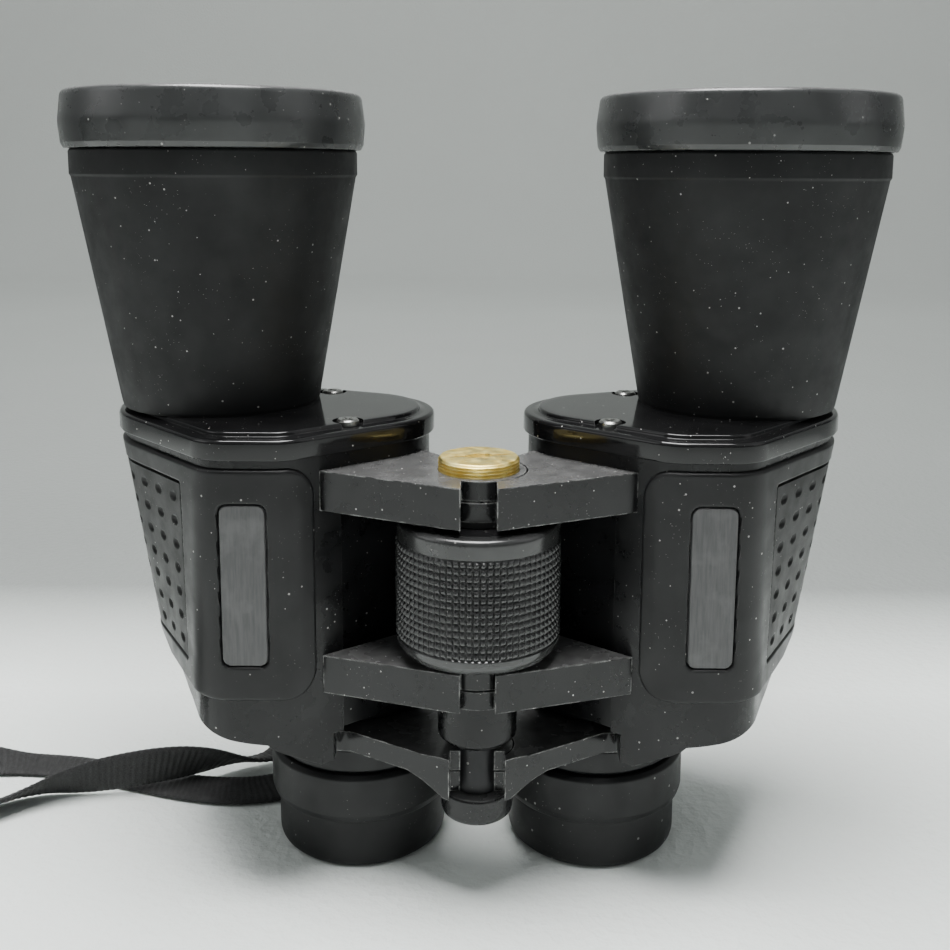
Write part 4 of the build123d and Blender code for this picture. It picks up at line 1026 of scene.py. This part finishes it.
def box_depth(u, z, u_low, u_high, z_low, z_high, corner):
    """Distance in from the edge of a rectangle with round corners; negative outside it."""
    du = abs(u - (u_low + u_high) / 2) - (u_high - u_low) / 2 + corner
    dz = abs(z - (z_low + z_high) / 2) - (z_high - z_low) / 2 + corner
    outside = sqrt(max(du, 0.0) ** 2 + max(dz, 0.0) ** 2)
    return corner - outside - min(max(du, dz), 0.0)


def edge_height(depth, rise, soft):
    """Height over the wall at a depth in from the edge, with a quarter-round shoulder."""
    if depth < 0:
        return max(SUNK, depth * 3.0)
    if depth > soft:
        return rise
    share = depth / soft
    return rise * sqrt(max(0.0, 1 - (1 - share) ** 2))


def make_panel(label, side):
    """Armour panel with openings for the grip pad and the label, and a raised bead round each."""
    def height(u, z, point):
        depth = box_depth(u, z, 0.0, panel_to(z), PANEL_LOW, PANEL_HIGH, PANEL_CORNER)
        depth = min(depth, (z - corner_floor(point.x) - 0.6) * 0.9)
        pad = -box_depth(u, z, pad_from(z), pad_to(z), PAD_LOW, PAD_HIGH, 0.4) - 0.18
        plate = -box_depth(u, z, label_from, label_to, LABEL_LOW, LABEL_HIGH, LABEL_CORNER) - 0.18
        nearest = min(pad, plate)
        if depth < -0.7 or nearest < -0.9:
            return None
        return min(edge_height(depth, PANEL_RISE, 0.75), edge_height(nearest, PANEL_RISE, 0.3))

    piece = skin(f"{label}_armour_panel_moulded", side, PANEL_LOW - 0.6, PANEL_HIGH + 0.6,
                 lambda z: (-0.6, panel_to(z) + 0.6), height, 0.36)
    finish_piece(piece, f"{label}_half", "armour_rubber", (f"{label}_armour_panel",))


DIMPLE_ROWS = 7
DIMPLE_PITCH = 7.3
DIMPLE_HALF_WIDTH = 1.55
DIMPLE_HALF_HEIGHT = 1.05
DIMPLE_DEPTH = 0.62


def make_grip_pad(label, side):
    """Pad with rows of oval dimples inside a plain border."""
    row_pitch = (PAD_HIGH - PAD_LOW) / (DIMPLE_ROWS + 0.35)

    def height(u, z, point):
        u_low, u_high = pad_from(z), pad_to(z)
        depth = box_depth(u, z, u_low, u_high, PAD_LOW, PAD_HIGH, 0.4)
        depth = min(depth, z - corner_floor(point.x) - 0.3)
        if depth < -0.5:
            return None
        rise = edge_height(depth, PAD_RISE, 0.35)
        row = floor((z - PAD_LOW) / row_pitch - 0.175)
        middle_z = PAD_LOW + (row + 0.675) * row_pitch
        columns = int((u_high - u_low) / DIMPLE_PITCH)
        col = floor((u - u_low) / DIMPLE_PITCH)
        middle_u = u_low + (col + 0.5) * DIMPLE_PITCH
        if 0 <= row < DIMPLE_ROWS and col < columns:
            across, up = (u - middle_u) / DIMPLE_HALF_WIDTH, (z - middle_z) / DIMPLE_HALF_HEIGHT
            away = sqrt(across**2 + up**2)
            if away < 1.25:
                rise -= DIMPLE_DEPTH * max(0.0, 1 - away**2) ** 0.6 * (1 if away < 1 else 0)
                rise += 0.05 * exp(-((away - 1.1) / 0.12) ** 2)
        return rise

    piece = skin(f"{label}_grip_pad_moulded", side, PAD_LOW - 0.3, PAD_HIGH + 0.3,
                 lambda z: (pad_from(z) - 0.3, pad_to(z) + 0.3), height, 0.3)
    finish_piece(piece, f"{label}_half", "grip_rubber", (f"{label}_grip_pad",))


def make_label(label, side):
    """Blank label plate with a fine rim."""
    def height(u, z, point):
        depth = box_depth(u, z, label_from, label_to, LABEL_LOW, LABEL_HIGH, LABEL_CORNER)
        if depth < -0.5:
            return None
        rim = 0.07 * exp(-((depth - 0.3) / 0.16) ** 2)
        return edge_height(depth, LABEL_RISE, 0.22) + rim

    piece = skin(f"{label}_label_plate_blank", side, LABEL_LOW - 0.3, LABEL_HIGH + 0.3,
                 lambda z: (label_from - 0.3, label_to + 0.3), height, 0.22)
    finish_piece(piece, f"{label}_half", "label_grey", (f"{label}_label_plate",))


# ---- pieces that keep the CAD shape, with rounded edges ----
def make_softened():
    """The housings, prisms and prism clips follow the corner curve; the rest keep the CAD shape."""
    widths = (("upper_hinge_arm", 0.30, "arm_black_paint", "half"),
              ("lower_hinge_arm", 0.30, "arm_black_paint", "half"),
              ("bridge_arm", 0.40, "arm_black_paint", "ocular"),
              ("prism_housing", 0.35, "housing_black", "half"),
              ("prisms", 0.20, "optical_glass", "half"),
              ("prism_clips", 0.10, "spring_steel", "half"),
              ("strap_lug", 0.45, "housing_black", "half"),
              ("front_cover_screws", 0.12, "screw_steel", "half"))
    corners = {"prism_housing": (0.0, True), "prisms": (1.4, False), "prism_clips": (0.9, False)}
    for label, side in SIDES:
        for name, width, slot, body in widths:
            node = f"{label}_{name}"
            piece = softened(node, width, corner=corners.get(name))
            finish_piece(piece, f"{label}_{body}", slot, (node,))


for label, side in SIDES:
    make_objective(label, side)
    make_eyepiece(label, side)
    make_front_cover(label, side)
    make_panel(label, side)
    make_grip_pad(label, side)
    make_label(label, side)
make_hinge_turnings()
make_wheel_sleeve()
make_plug()
make_softened()


# ---- floor, backdrop and light ----
# Painted shade: the floor darkens between the first two distances and lightens again between NEAR_Y and
# FAR_Y.
FLOOR_END_Y, PAINTED_SHADE_FULL_Y = 75.0, 165.0
NEAR_Y, FAR_Y = 220.0, 1000.0
GLOW_START_Y, STAGE_END_Y = 450.0, 1400.0
SWEEP_RADIUS, SWEEP_STEPS = 300.0, 24
WALL_HEIGHT = 1500.0
STAGE_HALF_WIDTH, STAGE_START_Y = 2500.0, -1400.0
STAGE_DROP = 0.02


def make_stage():
    """Pale floor that sweeps up into a backdrop. Behind the object the floor turns to a dark painted shade
    band, standing for a dim backdrop, which lightens further back; the far floor and the wall also glow a
    little, painted light.
    """
    n = Nodes("paper_with_painted_shade_and_glow")
    split = n.add("ShaderNodeSeparateXYZ")
    n.join(n.place, split.inputs[0])
    cloud = n.noise(180.0, 3.0)
    floor_tone = n.mix(cloud, (0.77, 0.81, 0.78), (0.82, 0.86, 0.83))
    # Painted shade tones for the band behind the object, dark near it and lighter further back.
    near_painted_shade_tone = n.mix(cloud, (0.215, 0.23, 0.22), (0.245, 0.26, 0.25))
    far_painted_shade_tone = n.mix(cloud, (0.42, 0.445, 0.425), (0.46, 0.485, 0.465))
    back = n.ramp(split.outputs["Y"], FLOOR_END_Y * MM, PAINTED_SHADE_FULL_Y * MM)
    away = n.ramp(split.outputs["Y"], NEAR_Y * MM, FAR_Y * MM)
    n.shade("Base Color", n.mix(back, floor_tone, n.mix(away, near_painted_shade_tone, far_painted_shade_tone)))
    # Painted light: the floor far back and the wall higher up glow, though there is no lamp there.
    painted_glow = n.math("ADD", n.ramp(split.outputs["Y"], GLOW_START_Y * MM, STAGE_END_Y * MM, 0.0, 0.13),
                  n.ramp(split.outputs["Z"], 0.1, 0.8, 0.0, 0.12))
    n.shade("Emission Strength", painted_glow)
    n.shade("Emission Color", (0.97, 1.0, 0.97, 1.0))
    n.shade("Roughness", 0.75)
    creases = n.math("ADD", n.voronoi(2.8), n.noise(1.3, 3.0))
    n.shade("Normal", n.bump(creases, 0.55, 0.6))
    profile = [(STAGE_START_Y, 0.0), (STAGE_END_Y, 0.0)]
    for step in range(1, SWEEP_STEPS + 1):
        angle = radians(90 * step / SWEEP_STEPS)
        profile.append((STAGE_END_Y + SWEEP_RADIUS * sin(angle), SWEEP_RADIUS * (1 - cos(angle))))
    last_y, last_z = profile[-1]
    profile.append((last_y, last_z + WALL_HEIGHT))
    verts, faces = [], []
    for y, z in profile:
        verts += [(side * STAGE_HALF_WIDTH, y, z - STAGE_DROP) for side in (-1, 1)]
    for k in range(len(profile) - 1):
        faces.append((2 * k, 2 * k + 1, 2 * k + 3, 2 * k + 2))
    sweep = add_mesh("backdrop", verts, faces, None)
    sweep.data.materials.append(n.material)


LIGHT_TARGET = Vector((0.0, 0.0, 0.08))


def area_light(name, place, size, power):
    """Soft rectangle of light that faces the object. Its place and size are in metres."""
    data = bpy.data.lights.new(name, "AREA")
    data.shape = "RECTANGLE"
    data.size, data.size_y = size
    data.energy = power
    light = add_object(name, data)
    light.location = Vector(place)
    light.rotation_euler = (LIGHT_TARGET - Vector(place)).to_track_quat("-Z", "Y").to_euler()


def make_world():
    """Soft room: bright overhead, dim in front of the object."""
    world = bpy.data.worlds.new("soft_room")
    bpy.context.scene.world = world
    world.use_nodes = True
    tree = world.node_tree
    place = tree.nodes.new("ShaderNodeTexCoord")
    split = tree.nodes.new("ShaderNodeSeparateXYZ")
    tree.links.new(place.outputs["Generated"], split.inputs[0])
    height = tree.nodes.new("ShaderNodeMapRange")
    for key, limit in (("From Min", -0.1), ("From Max", 0.75), ("To Min", 0.03), ("To Max", 0.55)):
        height.inputs[key].default_value = limit
    tree.links.new(split.outputs["Z"], height.inputs["Value"])
    background = tree.nodes["Background"]
    background.inputs["Color"].default_value = (0.86, 0.90, 0.90, 1.0)
    tree.links.new(height.outputs["Result"], background.inputs["Strength"])


make_stage()
make_world()
area_light("ceiling_soft", (-0.05, -0.08, 1.0), (0.6, 0.45), 24.0)
area_light("left_soft", (-0.85, -0.20, 0.55), (0.5, 0.5), 1.0)
area_light("right_fill", (0.75, -0.20, 0.45), (0.4, 0.6), 0.4)
